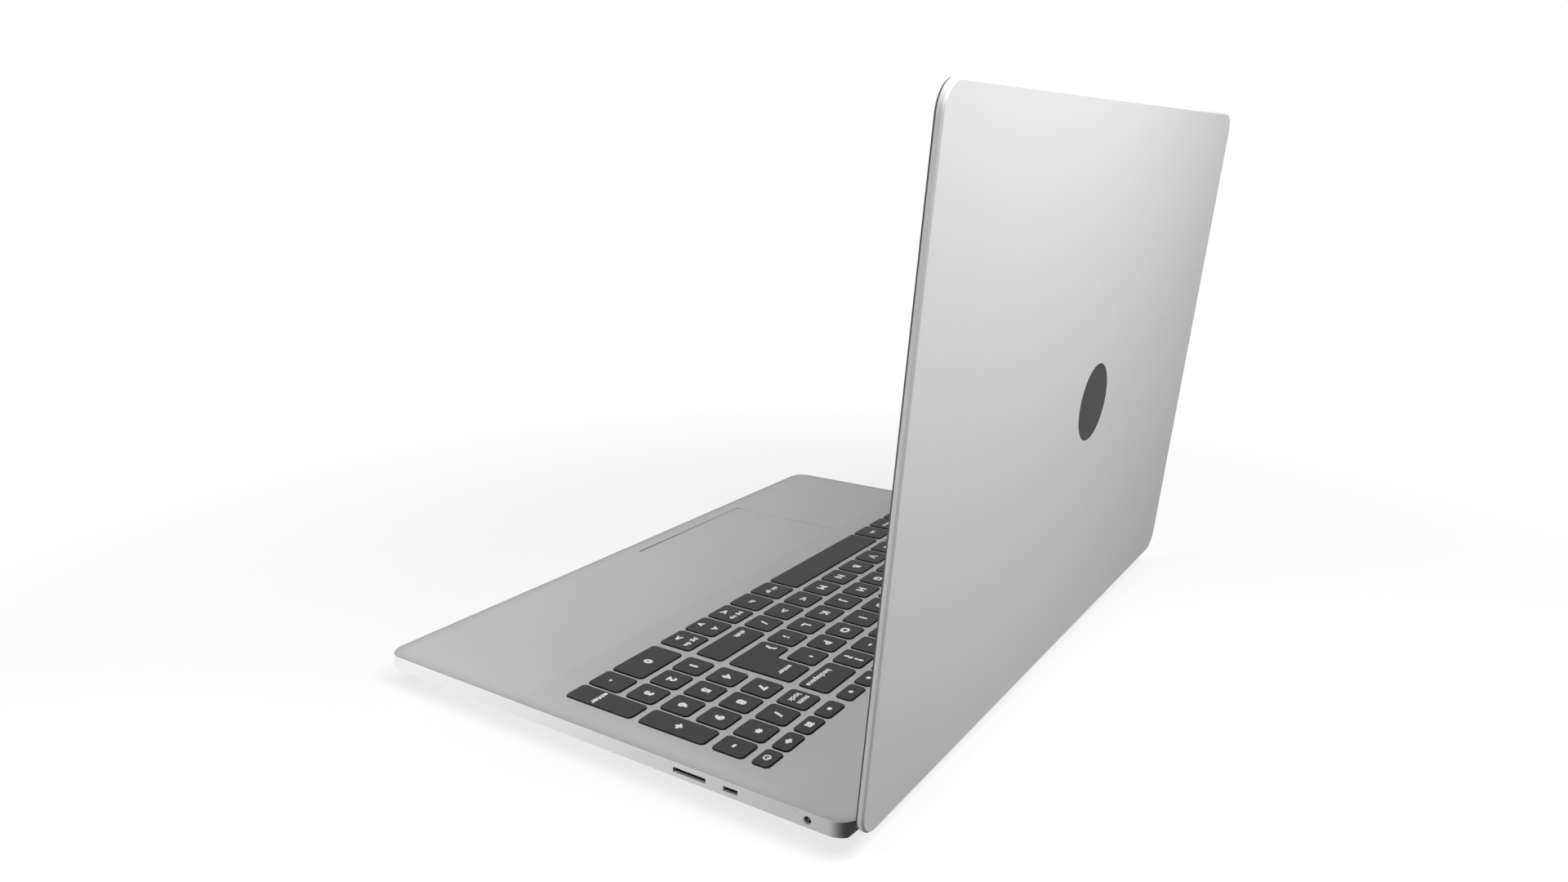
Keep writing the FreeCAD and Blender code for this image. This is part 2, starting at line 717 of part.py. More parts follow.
def make_top_case(keys):
    tools = []
    for i, key in enumerate(keys):
        hole = key_solid(f"hole{i}", key, "key_clear", "roof_z - deck_thick", "3 * deck_thick")
        tools.append(hole if len(key.spans) == 1 else eased("Chamfer", hole, "key_corner"))
    pad = block("pad_hole", ("pad_x - touchpad_clear", "pad_y - touchpad_clear", "roof_z - deck_thick"),
                ("touchpad_width + 2 * touchpad_clear", "touchpad_depth + 2 * touchpad_clear",
                 "3 * deck_thick"))
    tools.append(eased("Chamfer", pad, "touchpad_corner"))
    tools += [wall_slot("card_slot", 1, "card_from_rear", "card_width", "slot_height"),
              wall_slot("lock_slot", 1, "lock_from_rear", "lock_width", "slot_height"),
              wall_hole("power_hole", 1, "power_from_rear", "power_radius"),
              wall_hole("audio_hole", -1, "audio_from_rear", "audio_radius")]
    tools += [eased("Chamfer", wall_slot(f"usb_slot{i}", -1, usb_rear(i), "usb_width", "usb_height"),
                    "usb_corner", runs_along_x) for i in range(2)]
    for side in (-1, 1):
        x = f"{side} * hinge_x - notch_half"
        tools.append(block(f"hinge_notch{side + 1}",
                           (x, "pivot_y - arm_neck - notch_clear", "wall_z - side_wall"),
                           ("2 * notch_half", "2 * rear_wall", "wall_height + 2 * side_wall")))
        tools.append(block(f"leaf_way{side + 1}", (x, "cavity_rear - side_wall", "wall_z - side_wall"),
                           ("2 * notch_half", "rear_wall", "wall_height - deck_thick + side_wall")))
    for i in range(COUNTS["exhaust_slots"]):
        tools.append(block(f"exhaust{i}",
                           (f"fin_x + exhaust_width + {i} * exhaust_pitch", "cavity_rear - rear_wall",
                            "wall_z + exhaust_lift"), ("exhaust_width", "3 * rear_wall", "exhaust_height")))
    node("top_case", cut("pierced_deck", deck_shell(), tools))


def loft(body, kind, name, low, high):
    obj = body.newObject("PartDesign::" + kind, name)
    obj.Profile = low
    obj.Sections = [high]
    obj.Ruled = True
    body.Tip = obj


def tray_edge(inset):
    """Two corners of the rim of the bottom cover, moved inwards."""
    return ((f"-half_width + {inset}", f"front_y + {inset}"),
            (f"half_width - {inset}", f"cover_rear - {inset}"))


FOOT_PLACES = {
    "foot_rear": ("-belly_half + foot_end", "belly_rear - foot_inset - foot_width",
                  "2 * (belly_half - foot_end)"),
    "foot_front_left": ("-belly_half + foot_end", "belly_front + foot_inset", "front_foot_length"),
    "foot_front_right": ("belly_half - foot_end - front_foot_length", "belly_front + foot_inset",
                         "front_foot_length"),
}
SCREW_PLACES = [(f"{side}screw_x", y) for side in ("-", "") for y in
                ("belly_front + screw_edge", "belly_rear - screw_edge")]


def make_bottom_cover():
    body = new_body("tray")
    belly = ("-belly_half", "belly_front"), ("belly_half", "belly_rear")
    outside = [sketch_on(body, "XY_Plane", "belly", "foot_height"),
               sketch_on(body, "XY_Plane", "rim", "wall_z")]
    rounded_rectangle(outside[0], *belly, "base_corner")
    rounded_rectangle(outside[1], *tray_edge("0"), "base_corner")
    loft(body, "AdditiveLoft", "tray_outside", *outside)
    inside = [sketch_on(body, "XY_Plane", "floor", "floor_z"),
              sketch_on(body, "XY_Plane", "mouth", "wall_z")]
    chamfered_rectangle(inside[0], *belly, "rim_width")
    chamfered_rectangle(inside[1], *tray_edge("rim_width"), "rim_width")
    loft(body, "SubtractiveLoft", "tray_inside", *inside)
    slot = sketch_on(body, "XY_Plane", "vent", "foot_height")
    half = "(vent_slots - 1) * vent_pitch / 2"
    corners = [(f"fan_centre - {half} {sign} vent_width / 2", f"bearing_y {sign} vent_length / 2")
               for sign in "-+"]
    rectangle(slot, *corners)
    vent = feature(body, "Pocket", "vent_cut", slot, Length="2 * cover_thick")
    vent.Reversed = True
    pattern(body, "LinearPattern", "vents", vent, "X_Axis", Length="(vent_slots - 1) * vent_pitch",
            Occurrences="vent_slots")
    tools = [screw_cone(f"sink{i}", x, y, "screw_clear") for i, (x, y) in enumerate(SCREW_PLACES)]
    tools += [foot_block(name + "_seat", place_and_length, "0", "foot_height")
              for name, place_and_length in FOOT_PLACES.items()]
    node("bottom_cover", cut("cover", body, tools))


def screw_cone(name, x, y, grow):
    """The countersunk head of a case screw, through the thickness of the bottom cover."""
    obj = doc.addObject("Part::Cone", name)
    bind(obj, Radius1=f"screw_head + {grow}", Radius2=f"screw_radius + {grow}", Height="cover_thick")
    place(obj, x, y, "foot_height")
    return obj


def foot_block(name, place_and_length, gap, low):
    """The outline of a foot less a gap, from the height low to the depth it is sunk in the cover."""
    x, y, length = place_and_length
    pad = block(name, (f"{x} + {gap}", f"{y} + {gap}", low),
                (f"{length} - 2 * {gap}", f"foot_width - 2 * {gap}", f"foot_height + foot_sink - {low}"))
    return eased("Chamfer", pad, "foot_corner")


def make_feet():
    for name, place_and_length in FOOT_PLACES.items():
        node(name, foot_block(name + "_pad", place_and_length, "foot_clear", "0"))


def make_screws():
    screws = []
    for i, (x, y) in enumerate(SCREW_PLACES):
        shank = rod(f"shank{i}", (x, y, "floor_z"), "screw_radius", "screw_length - cover_thick")
        screws.append(fuse(f"screw{i}", [screw_cone(f"head{i}", x, y, "0"), shank]))
    node("case_screws", group("screws", screws))


def make_touchpad():
    pad = block("pad_plate", ("pad_x", "pad_y", "pad_z"),
                ("touchpad_width", "touchpad_depth", "touchpad_thick"))
    node("touchpad", eased("Chamfer", pad, "touchpad_corner"))
    floor_z = "pad_z - pan_room"
    outer = block("pan_outer", ("pad_x - pan_side", "pad_y - pan_side", f"{floor_z} - pan_wall"),
                  ("touchpad_width + 2 * pan_side", "touchpad_depth + 2 * pan_side",
                   f"roof_z - ({floor_z}) + pan_wall"))
    inner = block("pan_inner", ("pad_x - pan_side + pan_wall", "pad_y - pan_side + pan_wall", floor_z),
                  ("touchpad_width + 2 * (pan_side - pan_wall)", "touchpad_depth + 2 * (pan_side - pan_wall)",
                   "2 * pan_room"))
    rib = block("pan_rib", ("pad_x", "pad_y + touchpad_depth - pan_wall", floor_z),
                ("touchpad_width", "pan_wall", "pan_room - shaft_clear"))
    node("touchpad_bracket", fuse("pan", [cut("pan_shell", outer, [inner]), rib]))


def make_right_ports():
    reader = block("reader_can", ("wall_x - port_room",
                                  "rear_y - card_from_rear - card_width / 2 - port_wall",
                                  "slot_z - slot_height / 2 - port_wall"),
                   ("port_room", "card_width + 2 * port_wall", "slot_height + 2 * port_wall"))
    throat = block("reader_throat", ("wall_x - port_room + port_wall",
                                     "rear_y - card_from_rear - card_width / 2", "slot_z - slot_height / 2"),
                   ("port_room", "card_width", "slot_height"))
    node("card_reader", cut("reader", reader, [throat]))
    plate = block("lock_backing", ("wall_x - lock_plate", "rear_y - lock_from_rear - lock_width",
                                   "slot_z - slot_height / 2 - port_wall"),
                  ("lock_plate", "2 * lock_width", "slot_height + 2 * port_wall"))
    node("lock_plate", cut("lock_bar", plate, [wall_slot("lock_throat", 1, "lock_from_rear", "lock_width",
                                                         "slot_height")]))
    shell = block("jack_shell", ("wall_x - port_room", "rear_y - power_from_rear - power_radius - port_wall",
                                 "slot_z - slot_height / 2 - port_wall"),
                  ("port_room", "2 * (power_radius + port_wall)", "slot_height + 2 * port_wall"))
    bore = rod("jack_bore", ("wall_x - port_room + port_wall", "rear_y - power_from_rear", "slot_z"),
               "power_radius", "port_room", "X")
    pin = rod("jack_pin", ("wall_x - port_room", "rear_y - power_from_rear", "slot_z"), "power_pin",
              "port_room + side_wall - port_wall", "X")
    node("power_jack", fuse("jack", [cut("jack_cup", shell, [bore]), pin]))


def make_left_ports():
    for i, name in enumerate(("usb_port_rear", "usb_port_front")):
        y = f"rear_y - {usb_rear(i)}"
        can = block(name + "_can", ("-wall_x", f"{y} - usb_width / 2 - port_wall",
                                    "slot_z - usb_height / 2 - usb_shell"),
                    ("port_room", "usb_width + 2 * port_wall", "usb_height + 2 * usb_shell"))
        throat = block(name + "_throat",
                       ("-wall_x - port_wall", f"{y} - usb_width / 2", "slot_z - usb_height / 2"),
                       ("port_room", "usb_width", "usb_height"))
        throat = eased("Chamfer", throat, "usb_corner", runs_along_x)
        tongue = block(name + "_tongue", ("-wall_x", f"{y} - tongue_width / 2", "slot_z - usb_tongue / 2"),
                       ("port_room", "tongue_width", "usb_tongue"))
        node(name, fuse(name + "_whole", [cut(name + "_shell", can, [throat]), tongue]))
    body = block("audio_body", ("-wall_x", "rear_y - audio_from_rear - audio_radius - port_wall",
                                "slot_z - slot_height / 2 - port_wall"),
                 ("port_room", "2 * (audio_radius + port_wall)", "slot_height + 2 * port_wall"))
    bore = rod("audio_bore", ("-wall_x - port_wall", "rear_y - audio_from_rear", "slot_z"), "audio_radius",
               "port_room", "X")
    node("audio_jack", cut("audio", body, [bore]))


def make_battery():
    cells = []
    for i in range(COUNTS["battery_cells"]):
        x = f"-half_width + battery_side + {i} * (cell_width + cell_gap)"
        cell = block(f"cell{i}", (x, "front_y + battery_front", "floor_z"),
                     ("cell_width", "battery_depth", "cell_thick"))
        cells.append(eased("Chamfer", cell, "cell_corner"))
    node("battery_pack", group("cells", cells))


def make_card(name, y, length, width):
    """A plug-in card under the board, with its chips, and the socket that holds it."""
    plate = block(name + "_plate", ("card_x", y, "card_z"), (length, width, "card_thick"))
    chips = block(name + "_chips",
                  ("card_x + package_inset", f"{y} + package_inset", "card_z - package_thick"),
                  (f"{length} - 2 * package_inset", f"{width} - 2 * package_inset", "package_thick"))
    node(name, fuse(name + "_whole", [plate, chips]))
    return block(name + "_socket", ("card_x - socket_depth", y, "board_z - socket_height"),
                 ("socket_depth", width, "socket_height"))


def make_board():
    memory_y = "board_y + card_gap"
    storage_y = f"{memory_y} + memory_depth + card_gap"
    radio_y = f"{storage_y} + stick_width + card_gap"
    sockets = [make_card("memory_module", memory_y, "memory_length", "memory_depth"),
               make_card("storage_module", storage_y, "stick_length", "stick_width"),
               make_card("wireless_card", radio_y, "radio_length", "stick_width")]
    plate = block("board_plate", ("board_x", "board_y", "board_z"),
                  ("half_width - board_right - board_x", "board_depth", "board_thick"))
    node("mainboard", fuse("board", [plate] + sockets))
    chip = block("chip", ("chip_x - chip_width / 2", "chip_y - chip_depth / 2", "board_z - chip_thick"),
                 ("chip_width", "chip_depth", "chip_thick"))
    node("processor", chip)


def bent_path(points, bend):
    """A wire through points in one plane, with a round of radius bend at each square corner."""
    edges = []
    start = points[0]
    for before, corner, after in zip(points, points[1:], points[2:]):
        u = (corner - before).normalize()
        v = (after - corner).normalize()
        first, last = corner - u * bend, corner + v * bend
        middle = first + v * bend + (u - v) * (bend / math.sqrt(2))
        edges += [Part.LineSegment(start, first).toShape(), Part.Arc(first, middle, last).toShape()]
        start = last
    edges.append(Part.LineSegment(start, points[-1]).toShape())
    return Part.Wire(edges)


def make_cooler():
    """The flattened heat pipe from the processor, and the fins it passes through."""
    fin_middle = "fin_y + fin_depth / 2"
    corners = [("chip_x + chip_width / 2", "chip_y"), ("pipe_x", "chip_y"), ("pipe_x", fin_middle),
               ("fin_x + pipe_width / 2", fin_middle)]
    points = [FreeCAD.Vector(number(x), number(y), number("pipe_z")) for x, y in corners]
    path = bent_path(points, number("pipe_bend"))
    outline = path.makeOffset2D(number("pipe_width") / 2, fill=True)
    pipe = doc.addObject("Part::Feature", "pipe")
    pipe.Shape = outline.extrude(FreeCAD.Vector(0, 0, number("pipe_thick")))
    node("heat_pipe", pipe)
    stack = block("fin_block", ("fin_x", "fin_y", "fan_z"), ("fan_width", "fin_depth", "fan_height"))
    channels = [block(f"air{i}", (f"fin_x + fin_thick + {i} * fin_pitch", "fin_y - fin_thick",
                                  "fan_z + fin_thick"),
                      ("fin_pitch - fin_thick", "fin_depth + 2 * fin_thick", "fan_height - 2 * fin_thick"))
                for i in range(int(number("floor((fan_width - fin_thick) / fin_pitch)")))]
    channels.append(block("pipe_way", ("fin_x - fin_thick", f"{fin_middle} - pipe_width / 2", "pipe_z"),
                          ("fan_width + 2 * fin_thick", "pipe_width", "pipe_thick")))
    node("fin_stack", cut("fins", stack, channels))


def make_fan():
    shell = block("fan_block", ("fin_x", "fan_y", "fan_z"), ("fan_width", "fan_depth", "fan_height"))
    shell = eased("Chamfer", shell, "fan_corner")
    tools = [rod("volute", ("fan_centre", "bearing_y", "fan_z - fan_skin"), "blade_radius + volute_gap",
                 "fan_height"),
             block("outlet", ("fan_centre - outlet_width / 2", "bearing_y", "fan_z + fan_skin"),
                   ("outlet_width", "fan_depth", "fan_height - 2 * fan_skin"))]
    shaft = rod("shaft", ("fan_centre", "bearing_y", "fan_z + 2 * fan_skin"), "fan_shaft",
                "fan_height - 2 * fan_skin")
    node("fan_housing", fuse("fan_case", [cut("fan_shell", shell, tools), shaft]))
    body = new_body("impeller")
    depth = "fan_height - 2 * fan_skin - 2 * fan_clear"
    hub = sketch_on(body, "XY_Plane", "hub_ring")
    circle(hub, "0", "0", "hub_radius")
    circle(hub, "0", "0", "fan_shaft + shaft_clear")
    feature(body, "Pad", "hub", hub, Length=depth)
    outline = sketch_on(body, "XY_Plane", "blade_outline")
    root = "hub_radius - blade_thick"
    tip = "sqrt(blade_radius ^ 2 - blade_sweep ^ 2)"
    polygon(outline, [(root, "0"), (tip, "-blade_sweep"), (tip, "blade_thick - blade_sweep"),
                      (root, "blade_thick")])
    blade = feature(body, "Pad", "blade", outline, Length=depth)
    pattern(body, "PolarPattern", "blades", blade, "Z_Axis", Occurrences="fan_blades").Angle = 360
    place(body, "fan_centre", "bearing_y", "fan_z + fan_skin + fan_clear")
    node("fan_impeller", body)


def make_speakers():
    for side, name in ((-1, "speaker_left"), (1, "speaker_right")):
        inner = "half_width - battery_side + speaker_gap"
        x = inner if side > 0 else f"-({inner}) - speaker_width"
        case = block(name + "_case", (x, "front_y + battery_front", "floor_z"),
                     ("speaker_width", "speaker_length", "speaker_height"))
        cone = block(name + "_cone", (f"{x} + cone_margin", "front_y + battery_front + cone_margin",
                                      "floor_z + speaker_height - cone_depth"),
                     ("speaker_width - 2 * cone_margin", "speaker_length - 2 * cone_margin",
                      "2 * cone_depth"))
        case, cone = (eased("Chamfer", shape, "cell_corner") for shape in (case, cone))
        node(name, cut(name + "_box", case, [cone]))


def on_lid_group(name, obj):
    """A piece whose own place is in the flat lid, turned with the lid as a whole."""
    node(name, on_lid(group(name + "_flat", [obj])))


def make_lid_cover():
    body = new_body("lid_shell")
    outline = sketch_on(body, "XY_Plane", "lid_outline", "-outer_face")
    rounded_rectangle(outline, ("-lid_half", "-lid_drop"), ("lid_half", "lid_top"), "lid_corner")
    feature(body, "Pad", "lid_pad", outline, Length="lid_rim")
    ease_body(body, "Chamfer", "lid_ease", {"Size": "lid_edge"}, lies_at(-number("outer_face")))
    hollow = sketch_on(body, "XY_Plane", "lid_hollow", "lid_rim - outer_face")
    rounded_rectangle(hollow, ("-lid_half + lid_wall", "lid_wall - lid_drop"),
                      ("lid_half - lid_wall", "lid_top - lid_wall"), "lid_corner - lid_wall")
    feature(body, "Pocket", "lid_cavity", hollow, Length="lid_rim - lid_skin")
    seat = sketch_on(body, "XY_Plane", "badge_seat", "-outer_face")
    circle(seat, "badge_shift", "badge_up", "badge_radius + badge_clear")
    feature(body, "Pocket", "badge_recess", seat, Length="badge_depth").Reversed = True
    node("lid_cover", on_lid(body))
    on_lid_group("lid_badge", rod("badge", ("badge_shift", "badge_up", "-outer_face - badge_proud"),
                                  "badge_radius", "badge_depth + badge_proud"))


def make_screen():
    body = new_body("bezel_ring")
    outline = sketch_on(body, "XY_Plane", "bezel_outline", "-inner_face - bezel_thick")
    rounded_rectangle(outline, ("bezel_reveal - lid_half", "bezel_reveal - lid_drop"),
                      ("lid_half - bezel_reveal", "lid_top - bezel_reveal"), "lid_corner - bezel_reveal")
    rounded_rectangle(outline, ("bezel_side - lid_half", "bezel_chin - lid_drop"),
                      ("lid_half - bezel_side", "lid_top - bezel_top"), "window_corner")
    feature(body, "Pad", "bezel_pad", outline, Length="bezel_thick")
    camera_y = "lid_top - (lid_wall + bezel_top - panel_lap) / 2"
    tools = [block("lens_hole", ("-camera_window / 2", f"{camera_y} - camera_window / 2",
                                 "-inner_face - 2 * bezel_thick"),
                   ("camera_window", "camera_window", "3 * bezel_thick"))]
    for side in (-1, 1):
        tools.append(block(f"arm_way{side + 1}", (f"{arm_start(side)} - hinge_side_gap", "-2 * lid_drop",
                                                  "-inner_face - 2 * bezel_thick"),
                           ("arm_width + 2 * hinge_side_gap", "2 * lid_drop + arm_y + arm_neck + notch_clear",
                            "3 * bezel_thick")))
    node("lid_bezel", on_lid(cut("bezel", body, tools)))
    panel = block("panel", ("bezel_side - lid_half - panel_lap", "bezel_chin - lid_drop - panel_lap",
                            "skin_z"),
                  ("2 * (lid_half - bezel_side + panel_lap)",
                   "lid_height - bezel_chin - bezel_top + 2 * panel_lap", "panel_thick"))
    on_lid_group("display_panel", panel)
    board = block("camera_board", ("-camera_width / 2", f"{camera_y} - camera_depth / 2", "skin_z"),
                  ("camera_width", "camera_depth", "lid_rim - lid_skin"))
    lens_side = "camera_window - 2 * badge_clear"
    lens = block("camera_lens", (f"-({lens_side}) / 2", f"{camera_y} - ({lens_side}) / 2", "skin_z"),
                 (lens_side, lens_side, "lid_rim - lid_skin + bezel_thick - badge_clear"))
    on_lid_group("camera_module", fuse("camera", [board, lens]))
    bumpers = []
    for i, x in enumerate(("-lid_half + 4 * bumper_inset", "-2 * bumper_length", "bumper_length",
                           "lid_half - 4 * bumper_inset - bumper_length")):
        strip = block(f"bumper{i}", (x, "lid_top - bumper_inset - bumper_width", "-inner_face"),
                      ("bumper_length", "bumper_width", "bumper_height"))
        bumpers.append(strip)
    node("lid_bumpers", on_lid(group("bumpers", bumpers)))


def mount_start(side):
    """Where the fixed knuckle of a hinge begins along X."""
    inner = "hinge_x - notch_half + hinge_side_gap"
    return f"({inner})" if side > 0 else f"(-({inner}) - knuckle_length)"


def arm_start(side):
    """Where the turning arm of a hinge begins along X, just outside the fixed knuckle."""
    step = "+ knuckle_length + hinge_side_gap" if side > 0 else "- hinge_side_gap - arm_width"
    return f"({mount_start(side)} {step})"


def make_hinge(side, name):
    body = new_body(f"mount{side + 1}")
    start = mount_start(side)
    ring = sketch_on(body, "YZ_Plane", f"knuckle{side + 1}", start)
    circle(ring, "pivot_y", "pivot_z", "knuckle_radius")
    feature(body, "Pad", f"knuckle_pad{side + 1}", ring, Length="knuckle_length")
    leaf = sketch_on(body, "YZ_Plane", f"leaf{side + 1}", start)
    rectangle(leaf, ("pivot_y - bracket_length", "roof_z - bracket_thick"), ("pivot_y", "roof_z"))
    feature(body, "Pad", f"leaf_pad{side + 1}", leaf, Length="knuckle_length")
    bore = sketch_on(body, "YZ_Plane", f"bore{side + 1}", start)
    circle(bore, "pivot_y", "pivot_z", "pin_radius + pin_clear")
    feature(body, "Pocket", f"bore_cut{side + 1}", bore, Length="knuckle_length").Reversed = True
    node("hinge_mount_" + name, body)
    arm = new_body(f"arm{side + 1}")
    begin = arm_start(side)
    eye = sketch_on(arm, "YZ_Plane", f"eye{side + 1}", begin)
    circle(eye, "0", "0", "knuckle_radius")
    feature(arm, "Pad", f"eye_pad{side + 1}", eye, Length="arm_width")
    leaf = sketch_on(arm, "YZ_Plane", f"arm_leaf{side + 1}", begin)
    polygon(leaf, [("arm_y", "0"), ("arm_y + arm_neck", "0"), ("arm_y + arm_neck", "skin_z + arm_thick"),
                   ("arm_length", "skin_z + arm_thick"), ("arm_length", "skin_z"), ("arm_y", "skin_z")])
    feature(arm, "Pad", f"arm_pad{side + 1}", leaf, Length="arm_width")
    pin = sketch_on(arm, "YZ_Plane", f"pin{side + 1}", f"{start} - hinge_side_gap" if side < 0 else start)
    circle(pin, "0", "0", "pin_radius")
    feature(arm, "Pad", f"pin_pad{side + 1}", pin, Length="knuckle_length + hinge_side_gap")
    node("hinge_arm_" + name, on_lid(arm))


def finish():
    doc.recompute()
    for obj in doc.Objects:
        if "Invalid" in obj.State or "Error" in obj.State:
            raise RuntimeError(f"{obj.Name} failed: {obj.State}")
    for obj in nodes:
        if obj.Shape.isNull() or not obj.Shape.isValid():
            raise RuntimeError(f"{obj.Label} has no valid shape")
    os.makedirs("parts", exist_ok=True)
    for obj in nodes:
        obj.Shape.exportStep(f"parts/{obj.Label}.step")


def main():
    keys = main_block() + numpad()
    make_keys(keys)
    make_top_case(keys)
    make_bottom_cover()
    make_feet()
    make_screws()
    make_touchpad()
    make_right_ports()
    make_left_ports()
    make_battery()
    make_board()
    make_cooler()
    make_fan()
    make_speakers()
    make_lid_cover()
    make_screen()
    for side, name in ((-1, "left"), (1, "right")):
        make_hinge(side, name)
    finish()


main()
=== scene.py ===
import json
import math

import bmesh
import bpy
from bpy.props import FloatProperty, FloatVectorProperty, IntProperty, PointerProperty
from mathutils import Matrix, Vector
from mathutils.geometry import delaunay_2d_cdt


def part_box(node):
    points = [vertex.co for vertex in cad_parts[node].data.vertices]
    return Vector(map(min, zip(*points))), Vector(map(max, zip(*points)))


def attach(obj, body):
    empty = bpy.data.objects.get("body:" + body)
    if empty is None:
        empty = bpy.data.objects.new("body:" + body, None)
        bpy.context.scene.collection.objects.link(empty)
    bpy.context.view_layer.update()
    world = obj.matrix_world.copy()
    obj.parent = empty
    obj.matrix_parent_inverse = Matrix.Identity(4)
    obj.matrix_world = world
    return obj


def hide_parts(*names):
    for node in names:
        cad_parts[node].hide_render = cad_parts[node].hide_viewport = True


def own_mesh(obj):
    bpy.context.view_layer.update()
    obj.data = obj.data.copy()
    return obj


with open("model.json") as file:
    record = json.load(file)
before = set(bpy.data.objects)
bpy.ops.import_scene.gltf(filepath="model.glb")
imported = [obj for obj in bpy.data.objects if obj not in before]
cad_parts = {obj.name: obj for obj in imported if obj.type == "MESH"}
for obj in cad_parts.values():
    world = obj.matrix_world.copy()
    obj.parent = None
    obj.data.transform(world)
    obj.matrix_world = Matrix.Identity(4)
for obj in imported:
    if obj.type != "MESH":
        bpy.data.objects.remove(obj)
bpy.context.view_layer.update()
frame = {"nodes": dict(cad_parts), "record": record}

bl_info = {
    "name": "Open Laptop",
    "version": (1, 0, 0),
    "blender": (4, 5, 0),
    "location": "View3D > Sidebar > Laptop",
    "description": "Dresses the packed laptop with rounded key caps, legends, metal and a plain studio",
    "category": "Object",
}

NODES = frame["nodes"]
BODY_OF = {node: body for body, members in frame["record"]["behaviour"]["bodies"].items() for node in members}
SLOT_OF = {part["node"]: part["material_slot"] for part in frame["record"]["subparts"]}
KEY_NODES = sorted(n for n, s in SLOT_OF.items() if s == "key_black")

MM = 0.001
WELD = 1e-6  # points nearer than this are one
NEAR = 1e-5  # heights and places nearer than this are the same
FACES_UP = 0.5  # least upward part of the normal of a face that lies flat
SHADE = "shade"  # the mesh attribute that holds how much painted shade darkens the metal of the deck
UP = Vector((0, 0, 1))
DECK_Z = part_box("touchpad")[1].z
RIM_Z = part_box("top_case")[1].z
CAP_BOTTOM, CAP_TOP = (corner.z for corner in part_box("space_bar"))

# The CAD deck: its corner radius, how far at least its lip and its ceiling lie below it, and the least and
# the greatest width of a hinge notch.
BASE_CORNER = 10.0 * MM
LIP_BELOW, CEILING_BELOW = 0.2 * MM, 1.0 * MM
NOTCH_LEAST, NOTCH_MOST = 15.0 * MM, 30.0 * MM
# The dish of the deck: its rings, and how near a ring may come to the one along the front of the notches.
DISH_RINGS = 12
RING_SPACE = 0.3 * MM
# The painted shade on the rear wall: how far before the rear edge it starts, and the length over which it
# darkens.
REAR_WALL, REAR_WALL_FADE = 9.0 * MM, 5.0 * MM
# The painted shade on the deck behind the touchpad: its strength, its start, its fade, and the depth where it
# ends.
FIELD_SHADE = 0.03
FIELD_OFFSET, FIELD_FADE = 2.0 * MM, 0.5 * MM
FIELD_GONE, FIELD_FULL = 0.3 * MM, 0.05 * MM


def grey(level):
    """The linear value of an 8-bit grey."""
    c = level / 255
    return c / 12.92 if c <= 0.04045 else ((c + 0.055) / 1.055) ** 2.4


def tint(red, green, blue):
    return (grey(red), grey(green), grey(blue))


def colour(name, description, default):
    return FloatVectorProperty(name=name, description=description, default=default, subtype="COLOR",
                               size=3, min=0, max=1)


def length(name, description, millimetres):
    return FloatProperty(name=name, description=description, default=millimetres * MM,
                         subtype="DISTANCE", unit="LENGTH", min=0, precision=5)


def share(name, description, default, most=1):
    return FloatProperty(name=name, description=description, default=default, subtype="FACTOR",
                         min=0, max=most)


def count(name, description, default, least, most):
    return IntProperty(name=name, description=description, default=default, min=least, max=most)


def power(name, description, watts):
    return FloatProperty(name=name, description=description, default=watts, unit="POWER", min=0)


class LaptopCaseSettings(bpy.types.PropertyGroup):
    silver: colour("Silver", "Colour of the blasted metal of the deck and the lid", tint(196, 196, 197))
    cover: colour("Cover", "Colour of the painted bottom cover", tint(176, 177, 178))
    rubber: colour("Rubber", "Colour of the feet and bumpers", tint(52, 52, 53))
    opening_radius: length("Opening corners", "Corner radius of the key openings", 2.1)
    opening_gap: length("Key gap", "Gap between a key cap and its opening", 0.28)
    opening_steps: count("Corner steps", "Points on each rounded opening corner", 5, 2, 12)
    rim_steps: count("Rim steps", "Rings on the rounded lip of the deck", 5, 2, 16)
    lip_round: length("Lip round", "Rounding of the edge between the side walls and the deck", 0.12)
    dish_run: length("Dish run", "Width of the hollow sweep from the lip to the flat of the deck", 9.0)
    # Painted shade: how much the colour of the metal is darkened in a band along the rim of the deck.
    rim_shade: share("Rim shade", "How much darker the metal is along the rim of the deck", 0.26)
    # Painted shade: how much the colour of the rear wall is darkened.
    rear_shade: share("Rear shade", "How much darker the rear wall is than the sides", 0.8)
    pad_grow: length("Touchpad growth", "How far the touchpad reaches into the gap round it", 0.2)
    pad_drop: length("Touchpad drop", "How far the touchpad lies below the deck", 0.6)
    pad_round: length("Touchpad round", "Rounding of the rim of the touchpad", 0.1)
    foot_round: length("Foot round", "Rounding of the edges of the feet", 0.5)


